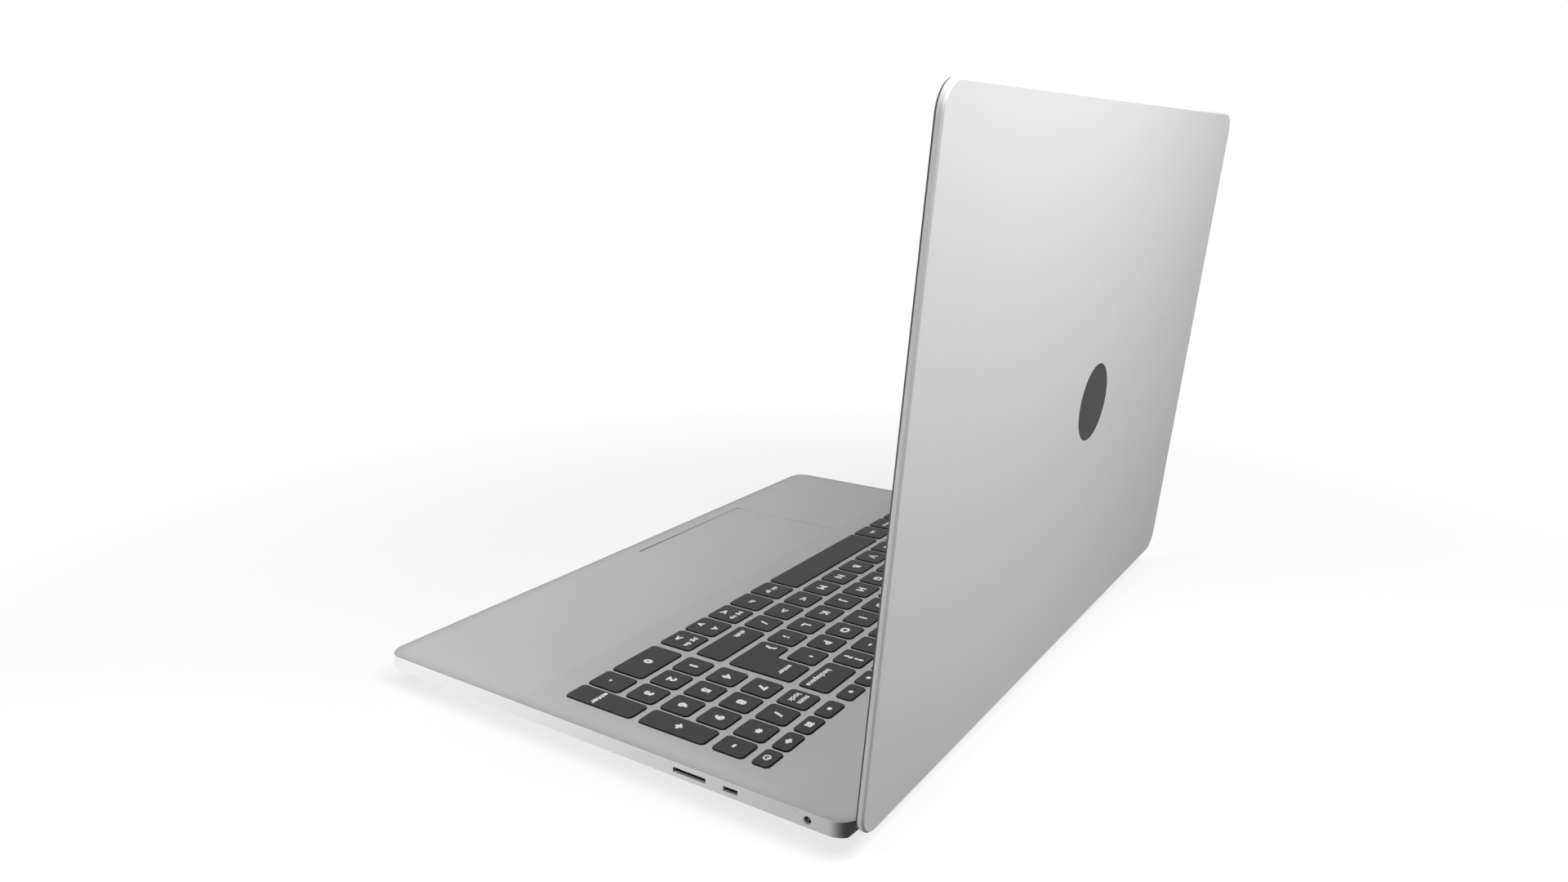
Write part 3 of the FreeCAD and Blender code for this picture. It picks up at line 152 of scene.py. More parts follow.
class LaptopKeySettings(bpy.types.PropertyGroup):
    cap: colour("Cap", "Colour of the top of the key caps", tint(52, 52, 52))
    # The sides of the caps take a darker copy of the cap plastic as painted shade, for the gaps between the
    # keys.
    side_shade: colour("Skirt", "Colour of the sides of the key caps", tint(18, 18, 18))
    legend: colour("Legend", "Colour of the printed legends", tint(250, 250, 249))
    corner_radius: length("Cap corners", "Corner radius of the key caps", 1.9)
    corner_steps: count("Corner steps", "Points on each rounded cap corner", 4, 1, 12)
    top_round: length("Top round", "Rounding of the upper rim of a cap", 0.22)
    letter: length("Letter size", "Type size of single letters and numbers", 5.9)
    word: length("Word size", "Type size of whole words", 3.9)
    small: length("Small size", "Type size of the short row at the rear", 3.0)
    stroke: share("Stroke", "Widening of the strokes, as a share of the type size of letters", 0.07, 0.2)
    wide: FloatProperty(name="Width", description="Width of the type, as a multiple of its drawn width",
                        default=1.15, min=0.5, max=2)
    ink: length("Ink", "Thickness of the printed ink", 0.02)
    dome_foot: length("Dome foot", "Radius of the foot of a rubber dome", 2.4)
    dome_top: length("Dome top", "Radius of the top of a rubber dome", 1.5)
    dome_gap: length("Dome gap", "Gap between a dome and the cap above it", 0.02)
    dome_sides: count("Dome sides", "Sides of a rubber dome", 16, 6, 32)


class LaptopLidSettings(bpy.types.PropertyGroup):
    bezel: colour("Bezel", "Colour of the screen frame", tint(38, 38, 39))
    screen: colour("Screen", "Colour of the dark screen", tint(16, 17, 19))
    badge: colour("Badge", "Colour of the plain disc on the lid", tint(56, 56, 57))
    edge_round: length("Edge round", "Rounding of the rim of the lid", 0.15)
    badge_round: length("Badge round", "Rounding of the rim of the disc", 0.05)
    fine_round: length("Fine round", "Rounding of the screen frame, the bumpers and the hinges", 0.12)


class LaptopStageSettings(bpy.types.PropertyGroup):
    floor: colour("Floor", "Colour of the studio floor", (0.92, 0.92, 0.92))
    eye: FloatVectorProperty(name="Camera place", description="Where the camera stands", subtype="XYZ",
                             unit="LENGTH", size=3, default=(0.49123, 0.28911, 0.25257))
    aim: FloatVectorProperty(name="Camera aim", description="The direction in which the camera looks",
                             subtype="DIRECTION", size=3, default=(-0.80760, -0.53274, -0.25292))
    lens: FloatProperty(name="Lens", description="Focal length on a 36 mm wide film", unit="CAMERA",
                        default=25.07, min=5, max=300)
    side_lamp: power("Side lamp", "Power of the low lamp right of the machine", 1.28)
    right_lamp: power("Right lamp", "Power of the soft lamp above the right edge", 0.61)
    top_lamp: power("Top lamp", "Power of the soft lamp high above the keys", 0.97)
    back_lamp: power("Back lamp", "Power of the soft lamp behind the lid", 4.8)
    room: FloatProperty(name="Room light", description="Strength of the even light from all round",
                        default=0.2, min=0, max=2)


class LaptopSettings(bpy.types.PropertyGroup):
    case: PointerProperty(type=LaptopCaseSettings)
    keys: PointerProperty(type=LaptopKeySettings)
    lid: PointerProperty(type=LaptopLidSettings)
    stage: PointerProperty(type=LaptopStageSettings)


# Finishes


class Finish:
    """A node material with its shader and the piece's own coordinates at hand."""

    def __init__(self, name, base, roughness, metallic=0.0, **sockets):
        self.material = bpy.data.materials.new(name)
        self.material.use_nodes = True
        self.tree = self.material.node_tree
        self.shader = self.tree.nodes["Principled BSDF"]
        self.shader.inputs["Base Color"].default_value = (*base, 1)
        self.shader.inputs["Roughness"].default_value = roughness
        self.shader.inputs["Metallic"].default_value = metallic
        for socket, value in sockets.items():
            self.shader.inputs[socket.replace("_", " ")].default_value = value
        self.place = self.add("ShaderNodeTexCoord").outputs["Object"]

    def add(self, kind, links=(), **settings):
        """Adds one node, with its links, its settings and, after in_, the values of its sockets."""
        node = self.tree.nodes.new(kind)
        for key, value in settings.items():
            if key.startswith("in_"):
                node.inputs[key[3:].replace("_", " ")].default_value = value
            else:
                setattr(node, key, value)
        for socket, source in dict(links).items():
            self.tree.links.new(source, node.inputs[socket])
        return node

    def math(self, operation, first, second):
        return self.add("ShaderNodeMath", {0: first, 1: second}, operation=operation).outputs[0]

    def stretched(self, scale):
        return self.add("ShaderNodeMapping", {"Vector": self.place}, in_Scale=scale).outputs["Vector"]

    def noise(self, scale, detail=2.0, place=None):
        return self.add("ShaderNodeTexNoise", {"Vector": place or self.place}, in_Scale=scale,
                        in_Detail=detail).outputs["Fac"]

    def spread(self, source, low, high, start=0.3, end=0.7):
        """Maps a value between start and end to the range from low to high."""
        node = self.add("ShaderNodeMapRange", {"Value": source})
        for socket, value in zip(("From Min", "From Max", "To Min", "To Max"), (start, end, low, high)):
            node.inputs[socket].default_value = value
        return node.outputs["Result"]

    def feed(self, socket, source):
        self.tree.links.new(source, self.shader.inputs[socket])

    def shades(self, source, dark, light, start=0.3, end=0.7):
        """Lets a texture's value run the base colour from dark to light."""
        node = self.add("ShaderNodeValToRGB", {"Fac": source})
        for stop, place, shade in zip(node.color_ramp.elements, (start, end), (dark, light)):
            stop.position = place
            stop.color = (*shade, 1)
        self.tone = node.outputs["Color"]
        self.feed("Base Color", self.tone)

    def bump(self, source, depth, strength):
        node = self.add("ShaderNodeBump", {"Height": source}, in_Strength=strength, in_Distance=depth)
        self.feed("Normal", node.outputs["Normal"])


def scaled(shade, factor):
    return tuple(c * factor for c in shade)


def blasted_metal(name, base):
    """Silver metal with a fine blasted grain and a faint unevenness."""
    finish = Finish(name, base, roughness=0.5, metallic=0.06, Specular_IOR_Level=0.2)
    uneven = finish.spread(finish.noise(scale=38.0, detail=3.0), low=0.46, high=0.54)
    finish.shades(uneven, dark=scaled(base, 0.96), light=scaled(base, 1.02))
    finish.feed("Roughness", finish.spread(finish.noise(scale=900.0), low=0.46, high=0.56))
    finish.bump(finish.noise(scale=4200.0), depth=0.012 * MM, strength=0.35)
    return finish


def deck_metal(name, base, field):
    """Blasted metal darkened by painted shade where its mesh says so, and by a little painted shade to the
    rear of a line.
    """
    finish = blasted_metal(name, base)
    place = finish.add("ShaderNodeSeparateXYZ", {"Vector": finish.place}).outputs
    # Painted shade to the rear of the line, kept off the walls below the deck.
    rear = finish.spread(place["Y"], 0.0, FIELD_SHADE, field, field + FIELD_FADE)
    level = finish.spread(place["Z"], 0.0, 1.0, DECK_Z - FIELD_GONE, DECK_Z - FIELD_FULL)
    mesh_shade = finish.add("ShaderNodeAttribute", attribute_name=SHADE).outputs["Fac"]
    dark = finish.math("ADD", mesh_shade, finish.math("MULTIPLY", rear, level))
    light = finish.spread(dark, 1.0, 0.0, 0.0, 1.0)
    shaded_colour = finish.add("ShaderNodeHueSaturation", {"Color": finish.tone, "Value": light})
    finish.feed("Base Color", shaded_colour.outputs["Color"])
    return finish.material


def moulded(name, base, roughness, grain=2600.0, depth=0.02 * MM, gloss=0.5):
    """Moulded plastic or rubber with a fine grained skin."""
    finish = Finish(name, base, roughness, Specular_IOR_Level=gloss)
    finish.shades(finish.noise(scale=140.0, detail=3.0), dark=scaled(base, 0.97), light=scaled(base, 1.03))
    finish.feed("Roughness", finish.spread(finish.noise(grain), low=roughness - 0.03, high=roughness + 0.03))
    finish.bump(finish.noise(grain), depth, strength=0.5)
    return finish.material


def drawn_metal(name, base, roughness, along):
    """Metal with fine lines along one axis."""
    finish = Finish(name, base, roughness, metallic=1.0)
    long, fine = 60.0, 5200.0
    squeeze = tuple(long if axis == along else fine for axis in "XYZ")
    lines = finish.noise(scale=1.0, place=finish.stretched(squeeze))
    finish.shades(lines, dark=scaled(base, 0.9), light=scaled(base, 1.05))
    finish.feed("Roughness", finish.spread(lines, low=roughness - 0.08, high=roughness + 0.1))
    finish.bump(lines, depth=0.01 * MM, strength=0.4)
    return finish.material


def turned_disc(name, base, centre):
    """Dark metal with fine rings round the middle of the badge."""
    finish = Finish(name, base, roughness=0.55, metallic=0.1, Specular_IOR_Level=0.08)
    middle = finish.add("ShaderNodeMapping", {"Vector": finish.place}, in_Location=tuple(-c for c in centre))
    rings = finish.add("ShaderNodeTexWave", {"Vector": middle.outputs["Vector"]}, wave_type="RINGS",
                       rings_direction="SPHERICAL", in_Scale=900.0, in_Distortion=0.6).outputs["Fac"]
    finish.shades(rings, dark=scaled(base, 0.93), light=scaled(base, 1.05), start=0.0, end=1.0)
    finish.feed("Roughness", finish.spread(rings, low=0.5, high=0.6, start=0.0, end=1.0))
    finish.bump(rings, depth=0.008 * MM, strength=0.3)
    return finish.material


def dark_glass(name, base):
    """The switched-off screen, a dark sheet under satin glass."""
    finish = Finish(name, base, roughness=0.3, Specular_IOR_Level=0.4)
    finish.shades(finish.noise(scale=9.0), dark=scaled(base, 0.9), light=scaled(base, 1.1))
    finish.feed("Roughness", finish.spread(finish.noise(scale=2400.0), low=0.3, high=0.34))
    return finish.material


def board_finish(name, base):
    """Circuit board with tracks under its lacquer."""
    finish = Finish(name, base, roughness=0.42)
    tracks = finish.add("ShaderNodeTexBrick", {"Vector": finish.place}, in_Scale=260.0,
                        in_Mortar_Size=0.05, in_Color1=(*base, 1), in_Color2=(*scaled(base, 0.8), 1),
                        in_Mortar=(*scaled(base, 1.7), 1))
    finish.feed("Base Color", tracks.outputs["Color"])
    finish.feed("Roughness", finish.spread(tracks.outputs["Fac"], low=0.45, high=0.3, start=0.0, end=1.0))
    return finish.material


def paint(node, material):
    """Gives a CAD node, which keeps its shape, its finish."""
    mesh = NODES[node].data
    mesh.materials.clear()
    mesh.materials.append(material)


# Meshes


def welded(node):
    """The mesh of a CAD node with its loose triangles joined."""
    bm = bmesh.new()
    bm.from_mesh(NODES[node].data)
    bmesh.ops.remove_doubles(bm, verts=bm.verts, dist=WELD)
    return bm


def plain_mesh(name, bm):
    """The mesh of a bmesh, which it uses up."""
    mesh = bpy.data.meshes.new(name)
    bm.to_mesh(mesh)
    bm.free()
    return mesh


def placed(name, data):
    """A new object in the scene."""
    obj = bpy.data.objects.new(name, data)
    bpy.context.scene.collection.objects.link(obj)
    return obj


def piece(name, source, material, node, smooth=30.0):
    """A finished object from a mesh, riding on the body of a CAD node."""
    mesh = plain_mesh(name, source) if isinstance(source, bmesh.types.BMesh) else source
    mesh.name = name
    if material:
        mesh.materials.clear()
        mesh.materials.append(material)
    mesh.shade_smooth()
    mesh.set_sharp_from_angle(angle=math.radians(smooth))
    obj = placed(name, mesh)
    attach(obj, BODY_OF[node])
    return obj


def stands_for(obj, node):
    """Hides the CAD node that a piece stands in for."""
    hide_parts(node)


def rounded_edges(obj, width, segments=2, angle=35.0):
    """Rounds the edges of a piece that are sharper than an angle in degrees."""
    bevel = obj.modifiers.new("rounded_edges", "BEVEL")
    bevel.width = width
    bevel.segments = segments
    bevel.limit_method = "ANGLE"
    bevel.angle_limit = math.radians(angle)


def softened(node, material, width, segments=2, name=None):
    """A CAD node's shape with its sharp edges rounded."""
    flat = math.radians(0.2)
    bm = welded(node)
    bmesh.ops.dissolve_limit(bm, angle_limit=flat, verts=bm.verts, edges=bm.edges)
    obj = piece(name or node + "_shell", bm, material, node)
    rounded_edges(obj, width, segments)
    stands_for(obj, node)


def cap_outlines(node):
    """The outlines of a key node's caps, from the front row to the rear and from left to right."""
    bm = welded(node)
    top = [f for f in bm.faces if f.normal.z > FACES_UP and f.calc_center_median().z > CAP_TOP - NEAR]
    outlines = [[v.co.to_2d() for v in f.verts]
                for f in bmesh.ops.dissolve_faces(bm, faces=top)["region"]]
    bm.free()
    return sorted(outlines, key=lambda o: (round(min(p.y for p in o), 4), min(p.x for p in o)))


def cap_middles(node):
    """The middle of each cap of a key node, in the order of its outlines."""
    middles = []
    for outline in cap_outlines(node):
        xs, ys = [p.x for p in outline], [p.y for p in outline]
        middles.append(((min(xs) + max(xs)) / 2, (min(ys) + max(ys)) / 2))
    return middles


def grown_outline(points, grow):
    """A closed outline, run anticlockwise, moved outwards by a distance."""
    mitre = 0.5  # keeps a sharp corner from running far out
    out = []
    for before, at, after in zip(points[-1:] + points[:-1], points, points[1:] + points[:1]):
        a, b = (at - before).normalized(), (after - at).normalized()
        na, nb = Vector((a.y, -a.x)), Vector((b.y, -b.x))
        out.append(at + (na + nb) * (grow / max(mitre, 1 + na.dot(nb))))
    return out


def rounded_outline(points, radius, steps):
    """A closed outline whose corners become arcs."""
    most = 0.49  # share of a side that one of its two corners may take
    out = []
    for before, at, after in zip(points[-1:] + points[:-1], points, points[1:] + points[:1]):
        a, b = before - at, after - at
        half = a.angle(b) / 2
        reach = min(radius / math.tan(half), a.length * most, b.length * most)
        start, end = at + a.normalized() * reach, at + b.normalized() * reach
        bow = reach * math.tan(half)
        middle = at + (a.normalized() + b.normalized()).normalized() * (bow / math.sin(half))
        first, last = start - middle, end - middle
        turn = first.angle_signed(last)
        for i in range(steps + 1):
            out.append(middle + Matrix.Rotation(-turn * i / steps, 2) @ first)
    return out


def type_outlines(text, size, wide):
    """The outlines of a word about the origin, in millimetres, with the ink on the left of each."""
    font = bpy.data.curves.new("type", "FONT")
    font.body, font.size = text, size / MM
    font.align_x = font.align_y = "CENTER"
    font.space_character = 1.06
    font.fill_mode, font.resolution_u = "NONE", 3
    holder = bpy.data.objects.new("type", font)
    mesh = bpy.data.meshes.new_from_object(holder)
    points = [Vector((v.co.x * wide, v.co.y)) for v in mesh.vertices]
    outlines = [points[min(e.vertices):max(e.vertices) + 1]
                for e in mesh.edges if abs(e.vertices[0] - e.vertices[1]) != 1]
    bpy.data.objects.remove(holder)
    bpy.data.curves.remove(font)
    bpy.data.meshes.remove(mesh)
    area = sum(a.cross(b) for o in outlines for a, b in zip(o, o[1:] + o[:1]))
    return outlines if area > 0 else [o[::-1] for o in outlines]


def filled(outlines):
    """Points and triangles of all that lies inside outlines in millimetres, also where these cross."""
    same_point = 1e-5
    points, edges = [], []
    for outline in outlines:
        first, count = len(points), len(outline)
        points += outline
        edges += [(first + i, first + (i + 1) % count) for i in range(count)]

    def turns(p):
        """How often the outlines run round a point."""
        total = 0
        for a, b in ((points[i], points[j]) for i, j in edges):
            rising = b.y > p.y
            if (a.y > p.y) != rising and ((b - a).cross(p - a) > 0) == rising:
                total += 1 if rising else -1
        return total

    verts, _, faces, *_ = delaunay_2d_cdt(points, edges, [], 0, same_point)
    return verts, [f for f in faces if turns((verts[f[0]] + verts[f[1]] + verts[f[2]]) / 3) > 0]


def ring(bm, points, z):
    """A closed run of vertices and edges."""
    verts = [bm.verts.new((p.x, p.y, z)) for p in points]
    edges = [bm.edges.new((a, b)) for a, b in zip(verts, verts[1:] + verts[:1])]
    return verts, edges


def wall(bm, lower, upper):
    """Faces between two closed runs of as many vertices."""
    for i in range(len(lower)):
        j = (i + 1) % len(lower)
        bm.faces.new((lower[i], lower[j], upper[j], upper[i]))


# Geometry Nodes


def nodes_tree(name, sockets):
    """A Geometry Nodes tree, the sockets of its named inputs and the socket of its result."""
    tree = bpy.data.node_groups.new(name, "GeometryNodeTree")
    tree.interface.new_socket("Geometry", in_out="INPUT", socket_type="NodeSocketGeometry")
    for label, kind in sockets.items():
        tree.interface.new_socket(label, in_out="INPUT", socket_type="NodeSocket" + kind)
    tree.interface.new_socket("Geometry", in_out="OUTPUT", socket_type="NodeSocketGeometry")
    return tree, tree.nodes.new("NodeGroupInput").outputs, tree.nodes.new("NodeGroupOutput").inputs[0]


def step(tree, kind, links, **settings):
    """Adds one node, with links or plain values for its sockets by name, and gives its outputs."""
    node = tree.nodes.new(kind)
    for key, value in settings.items():
        setattr(node, key, value)
    for socket, source in links.items():
        target = node.inputs[socket]
        if isinstance(source, bpy.types.NodeSocket):
            tree.links.new(source, target)
        else:
            target.default_value = source
    return node.outputs


def thickened(tree, sheet, depth):
    """A flat sheet made into a closed solid that reaches up by depth."""
    raised = step(tree, "GeometryNodeExtrudeMesh", {
        "Mesh": sheet, "Offset": tuple(UP), "Offset Scale": depth, "Individual": False}, mode="FACES")
    turned = step(tree, "GeometryNodeFlipFaces", {"Mesh": sheet})[0]
    both = tree.nodes.new("GeometryNodeJoinGeometry")
    tree.links.new(raised["Mesh"], both.inputs[0])
    tree.links.new(turned, both.inputs[0])
    closed = step(tree, "GeometryNodeMergeByDistance", {"Geometry": both.outputs[0], "Distance": WELD})
    return closed[0], raised["Side"]


def cap_tree():
    """Outlines become filleted, thick caps whose sides take a darker material as painted shade."""
    tree, given, result = nodes_tree("rounded_caps", {
        "Corner Radius": "Float", "Corner Steps": "Int", "Bottom": "Float", "Height": "Float",
        "Cap Material": "Material", "Skirt Material": "Material"})
    curve = step(tree, "GeometryNodeMeshToCurve", {"Mesh": given["Geometry"]})[0]
    soft = step(tree, "GeometryNodeFilletCurve", {
        "Curve": curve, "Radius": given["Corner Radius"], "Count": given["Corner Steps"],
        "Limit Radius": True}, mode="POLY")[0]
    flat = step(tree, "GeometryNodeFillCurve", {"Curve": soft}, mode="NGONS")[0]
    lift = step(tree, "ShaderNodeCombineXYZ", {"Z": given["Bottom"]})[0]
    base = step(tree, "GeometryNodeTransform", {"Geometry": flat, "Translation": lift})[0]
    solid, side = thickened(tree, base, given["Height"])
    topped = step(tree, "GeometryNodeSetMaterial", {"Geometry": solid, "Material": given["Cap Material"]})
    skirted = step(tree, "GeometryNodeSetMaterial", {
        "Geometry": topped[0], "Selection": side, "Material": given["Skirt Material"]})
    real = step(tree, "GeometryNodeRealizeInstances", {"Geometry": skirted[0]})
    tree.links.new(real[0], result)
    return tree


def dome_tree():
    """Points become rubber domes that stand on them."""
    tree, given, result = nodes_tree("rubber_domes", {
        "Sides": "Int", "Foot Radius": "Float", "Top Radius": "Float", "Height": "Float",
        "Material": "Material"})
    cone = step(tree, "GeometryNodeMeshCone", {
        "Vertices": given["Sides"], "Radius Top": given["Top Radius"],
        "Radius Bottom": given["Foot Radius"], "Depth": given["Height"]})
    spread = step(tree, "GeometryNodeInstanceOnPoints", {
        "Points": given["Geometry"], "Instance": cone["Mesh"]})
    real = step(tree, "GeometryNodeRealizeInstances", {"Geometry": spread[0]})
    painted = step(tree, "GeometryNodeSetMaterial", {
        "Geometry": real[0], "Material": given["Material"]})
    tree.links.new(painted[0], result)
    return tree


def grown_mesh(mesh, tree, values):
    """The plain mesh that a tree makes of a mesh, which it uses up."""
    carrier = placed("carrier", mesh)
    modifier = carrier.modifiers.new("nodes", "NODES")
    modifier.node_group = tree
    for item in tree.interface.items_tree:
        if item.in_out == "INPUT" and item.name in values:
            modifier[item.identifier] = values[item.name]
    depsgraph = bpy.context.evaluated_depsgraph_get()
    result = bpy.data.meshes.new_from_object(carrier.evaluated_get(depsgraph), depsgraph=depsgraph)
    carrier.modifiers.clear()
    bpy.data.objects.remove(carrier)
    bpy.data.meshes.remove(mesh)
    bm = bmesh.new()
    bm.from_mesh(result)
    bmesh.ops.recalc_face_normals(bm, faces=bm.faces)
    bm.to_mesh(result)
    bm.free()
    return result


# Pieces


class LaptopOperator:
    bl_options = {"REGISTER", "UNDO"}


class LAPTOP_OT_top_case(LaptopOperator, bpy.types.Operator):
    """Rebuilds the deck with a rounded lip, a soft dish, rounded key openings and painted shade on its rim
    and rear wall
    """
    bl_idname = "laptop.top_case"
    bl_label = "Top Case"

    def execute(self, context):
        case = context.scene.laptop.case
        bm = welded("top_case")
        self.shade = bm.verts.layers.float.new(SHADE)
        self.clear_deck(bm)
        flat_edge = self.add_rim(bm, case)
        self.fill_deck(bm, flat_edge, case)
        bmesh.ops.remove_doubles(bm, verts=bm.verts, dist=WELD)
        bmesh.ops.recalc_face_normals(bm, faces=bm.faces)
        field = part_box("touchpad")[1].y + FIELD_OFFSET
        metal = deck_metal("silver_deck", case.silver, field)
        stands_for(piece("top_case_shell", bm, metal, "top_case"), "top_case")
        return {"FINISHED"}

    def clear_deck(self, bm):
        """Takes away the deck, its rim and the walls and ceiling round the keys."""
        low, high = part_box("keyboard_plate")
        self.roof = max(v.co.z for v in bm.verts if v.co.z < DECK_Z - CEILING_BELOW)
        self.wall_top = max(v.co.z for v in bm.verts if v.co.z < DECK_Z - LIP_BELOW)
        gone = []
        for face in bm.faces:
            centre = face.calc_center_median()
            inside = low.x < centre.x < high.x and low.y < centre.y < high.y
            lowest = min(v.co.z for v in face.verts)
            on_top = face.normal.z > FACES_UP and lowest > self.wall_top - NEAR
            if on_top or inside and lowest > self.roof - NEAR:
                gone.append(face)
        bmesh.ops.delete(bm, geom=gone, context="FACES")

    def add_rim(self, bm, case):
        """Adds the lip and the dish round the deck, with painted shade on the rim and the rear wall, and
        returns the edge of the flat inside them.
        """
        low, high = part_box("top_case")
        middle = ((low + high) / 2).to_2d()
        core = ((high - low) / 2).to_2d() - Vector((BASE_CORNER, BASE_CORNER))

        def outward(p):
            """The direction out of the rim at a point, and the nearest point of the core of the outline."""
            d = p.to_2d() - middle
            nearest = Vector((max(-core.x, min(core.x, d.x)), max(-core.y, min(core.y, d.y))))
            return (d - nearest).normalized(), nearest

        def turn(v):
            """Runs once round the rim, in order."""
            normal, nearest = outward(v.co)
            return (round(math.atan2(normal.y, normal.x) % (2 * math.pi), 4),
                    nearest.dot(Vector((-normal.y, normal.x))))

        def on_edge(v):
            _, nearest = outward(v.co)
            return abs((v.co.to_2d() - middle - nearest).length - BASE_CORNER) < NEAR

        # Painted shade on the rear wall, growing towards the rear edge.
        for v in bm.verts:
            if v.co.z < self.wall_top + NEAR and on_edge(v):
                dark = (v.co.y - high.y + REAR_WALL) / REAR_WALL_FADE
                v[self.shade] = case.rear_shade * min(1, max(0, dark))
        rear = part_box("function_keys")[1].y
        notch_verts = [v for v in bm.verts if v.co.y > rear and v.co.z > self.wall_top + NEAR]
        notch = high.y - min(v.co.y for v in notch_verts)
        profile = self.rim_profile(case, notch)
        outer = sorted((v for v in bm.verts if abs(v.co.z - self.wall_top) < NEAR and on_edge(v)), key=turn)
        rows = []
        for v in outer:
            normal, _ = outward(v.co)
            row = [v] + [bm.verts.new((v.co.x - normal.x * inset, v.co.y - normal.y * inset, z))
                         for inset, z, _ in profile[1:]]
            row[1][self.shade] = v[self.shade]
            for at, (_, _, shade) in zip(row[2:], profile[2:]):
                at[self.shade] = shade
            rows.append(row)
        reach = [inset for inset, *_ in profile].index(notch)
        flat_edge = []
        for a, b in zip(rows, rows[1:] + rows[:1]):
            at_rear = min(a[0].co.y, b[0].co.y) > high.y - NEAR
            opened = at_rear and NOTCH_LEAST < abs(a[0].co.x - b[0].co.x) < NOTCH_MOST
            for k in range(reach if opened else 0, len(profile) - 1):
                bm.faces.new((a[k], b[k], b[k + 1], a[k + 1]))
            if opened:
                self.close_notch(bm, a[:reach + 1], b[:reach + 1], notch_verts)
            flat_edge.append(bm.edges.get((a[-1], b[-1])) or bm.edges.new((a[-1], b[-1])))
        return flat_edge

    def rim_profile(self, case, notch):
        """How far in and how high the rings of the rim lie, and how much painted shade each carries.

        One of them runs along the front of the hinge notches."""
        lip = case.lip_round
        rings = [(0.0, self.wall_top, 0.0)]
        for k in range(case.rim_steps + 1):
            bend = math.pi / 2 * k / case.rim_steps
            rings.append((lip * (1 - math.cos(bend)), RIM_Z - lip * (1 - math.sin(bend)),
                          case.rim_shade * k / case.rim_steps))
        run = case.dish_run
        insets = [lip + run * k / DISH_RINGS for k in range(1, DISH_RINGS + 1)]
        insets = sorted([i for i in insets if abs(i - notch) > RING_SPACE] + [notch])
        for inset in insets:
            left = max(0.0, 1 - (inset - lip) / run) ** 3
            rings.append((inset, DECK_Z + (RIM_Z - DECK_Z) * left, case.rim_shade * left))
        return rings

    def close_notch(self, bm, one, other, notch_verts):
        """Joins the rim to the side walls and the front wall of a hinge notch."""
        ends = []
        for row in (one, other):
            line = [v for v in notch_verts if abs(v.co.x - row[0].co.x) < NEAR]
            line.sort(key=lambda v: -v.co.y)
            bm.faces.new([*line, *reversed(row)])
            ends.append((row[-1], line[-1]))
        (a, b), (c, d) = ends
        bm.faces.new((a, b, d, c))

    def fill_deck(self, bm, flat_edge, case):
        """Fills the flat of the deck and its ceiling between rounded openings."""
        def open_edges(z):
            return [e for e in bm.edges if e.is_boundary and all(abs(v.co.z - z) < NEAR for v in e.verts)]

        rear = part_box("space_bar")[0].y
        above = flat_edge + [e for e in open_edges(DECK_Z) if e not in flat_edge and e.verts[0].co.y < rear]
        below = open_edges(self.roof)
        for node in KEY_NODES:
            for outline in cap_outlines(node):
                opening = rounded_outline(grown_outline(outline, case.opening_gap), case.opening_radius,
                                          case.opening_steps)
                upper, upper_edges = ring(bm, opening, DECK_Z)
                lower, lower_edges = ring(bm, opening, self.roof)
                wall(bm, upper, lower)
                above += upper_edges
                below += lower_edges
        bmesh.ops.scale(bm, vec=(1 / MM,) * 3, verts=bm.verts)  # the fill needs lengths near 1
        for edges in (above, below):
            bmesh.ops.triangle_fill(bm, use_beauty=True, use_dissolve=False, edges=edges, normal=UP)
        bmesh.ops.scale(bm, vec=(MM,) * 3, verts=bm.verts)


class LAPTOP_OT_key_caps(LaptopOperator, bpy.types.Operator):
    """Makes the rounded key caps"""
    bl_idname = "laptop.key_caps"
    bl_label = "Key Caps"

    def execute(self, context):
        keys = context.scene.laptop.keys
        tree = cap_tree()
        cap = moulded("key_cap", keys.cap, roughness=0.6, grain=3200.0, depth=0.015 * MM, gloss=0.25)
        # The darker sides of the caps are painted shade.
        side_shade = moulded("key_skirt", keys.side_shade, roughness=0.65, gloss=0.15)
        for node in KEY_NODES:
            bm = bmesh.new()
            for outline in cap_outlines(node):
                ring(bm, outline, 0)
            grown = grown_mesh(plain_mesh(node, bm), tree, {
                "Corner Radius": keys.corner_radius, "Corner Steps": keys.corner_steps,
                "Bottom": CAP_BOTTOM, "Height": CAP_TOP - CAP_BOTTOM,
                "Cap Material": cap, "Skirt Material": side_shade})
            obj = piece(node + "_caps", grown, None, node, smooth=50.0)
            rounded_edges(obj, keys.top_round, angle=60.0)
            stands_for(obj, node)
        return {"FINISHED"}


class LAPTOP_OT_key_domes(LaptopOperator, bpy.types.Operator):
    """Makes the rubber sheet under the keys and its domes"""
    bl_idname = "laptop.key_domes"
    bl_label = "Key Domes"

    def execute(self, context):
        keys = context.scene.laptop.keys
        rubber = moulded("dome_rubber", tint(60, 60, 62), roughness=0.7)
        low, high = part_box("key_domes")
        foot = min(v.co.z for v in NODES["key_domes"].data.vertices if v.co.z > low.z + NEAR)
        bm = bmesh.new()
        middle, size = (low + high) / 2, high - low
        middle.z, size.z = (low.z + foot) / 2, foot - low.z
        bmesh.ops.create_cube(bm, size=1, matrix=Matrix.LocRotScale(middle, None, size))
        stands_for(piece("dome_sheet", bm, rubber, "key_domes"), "key_domes")
        tree = dome_tree()
        height = high.z - foot - keys.dome_gap
        for node in KEY_NODES:
            mesh = bpy.data.meshes.new(node)
            mesh.from_pydata([(x, y, foot) for x, y in cap_middles(node)], [], [])
            grown = grown_mesh(mesh, tree, {
                "Sides": keys.dome_sides, "Foot Radius": keys.dome_foot, "Top Radius": keys.dome_top,
                "Height": height, "Material": rubber})
            obj = piece(node + "_domes", grown, None, "key_domes")
            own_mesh(obj)
        return {"FINISHED"}


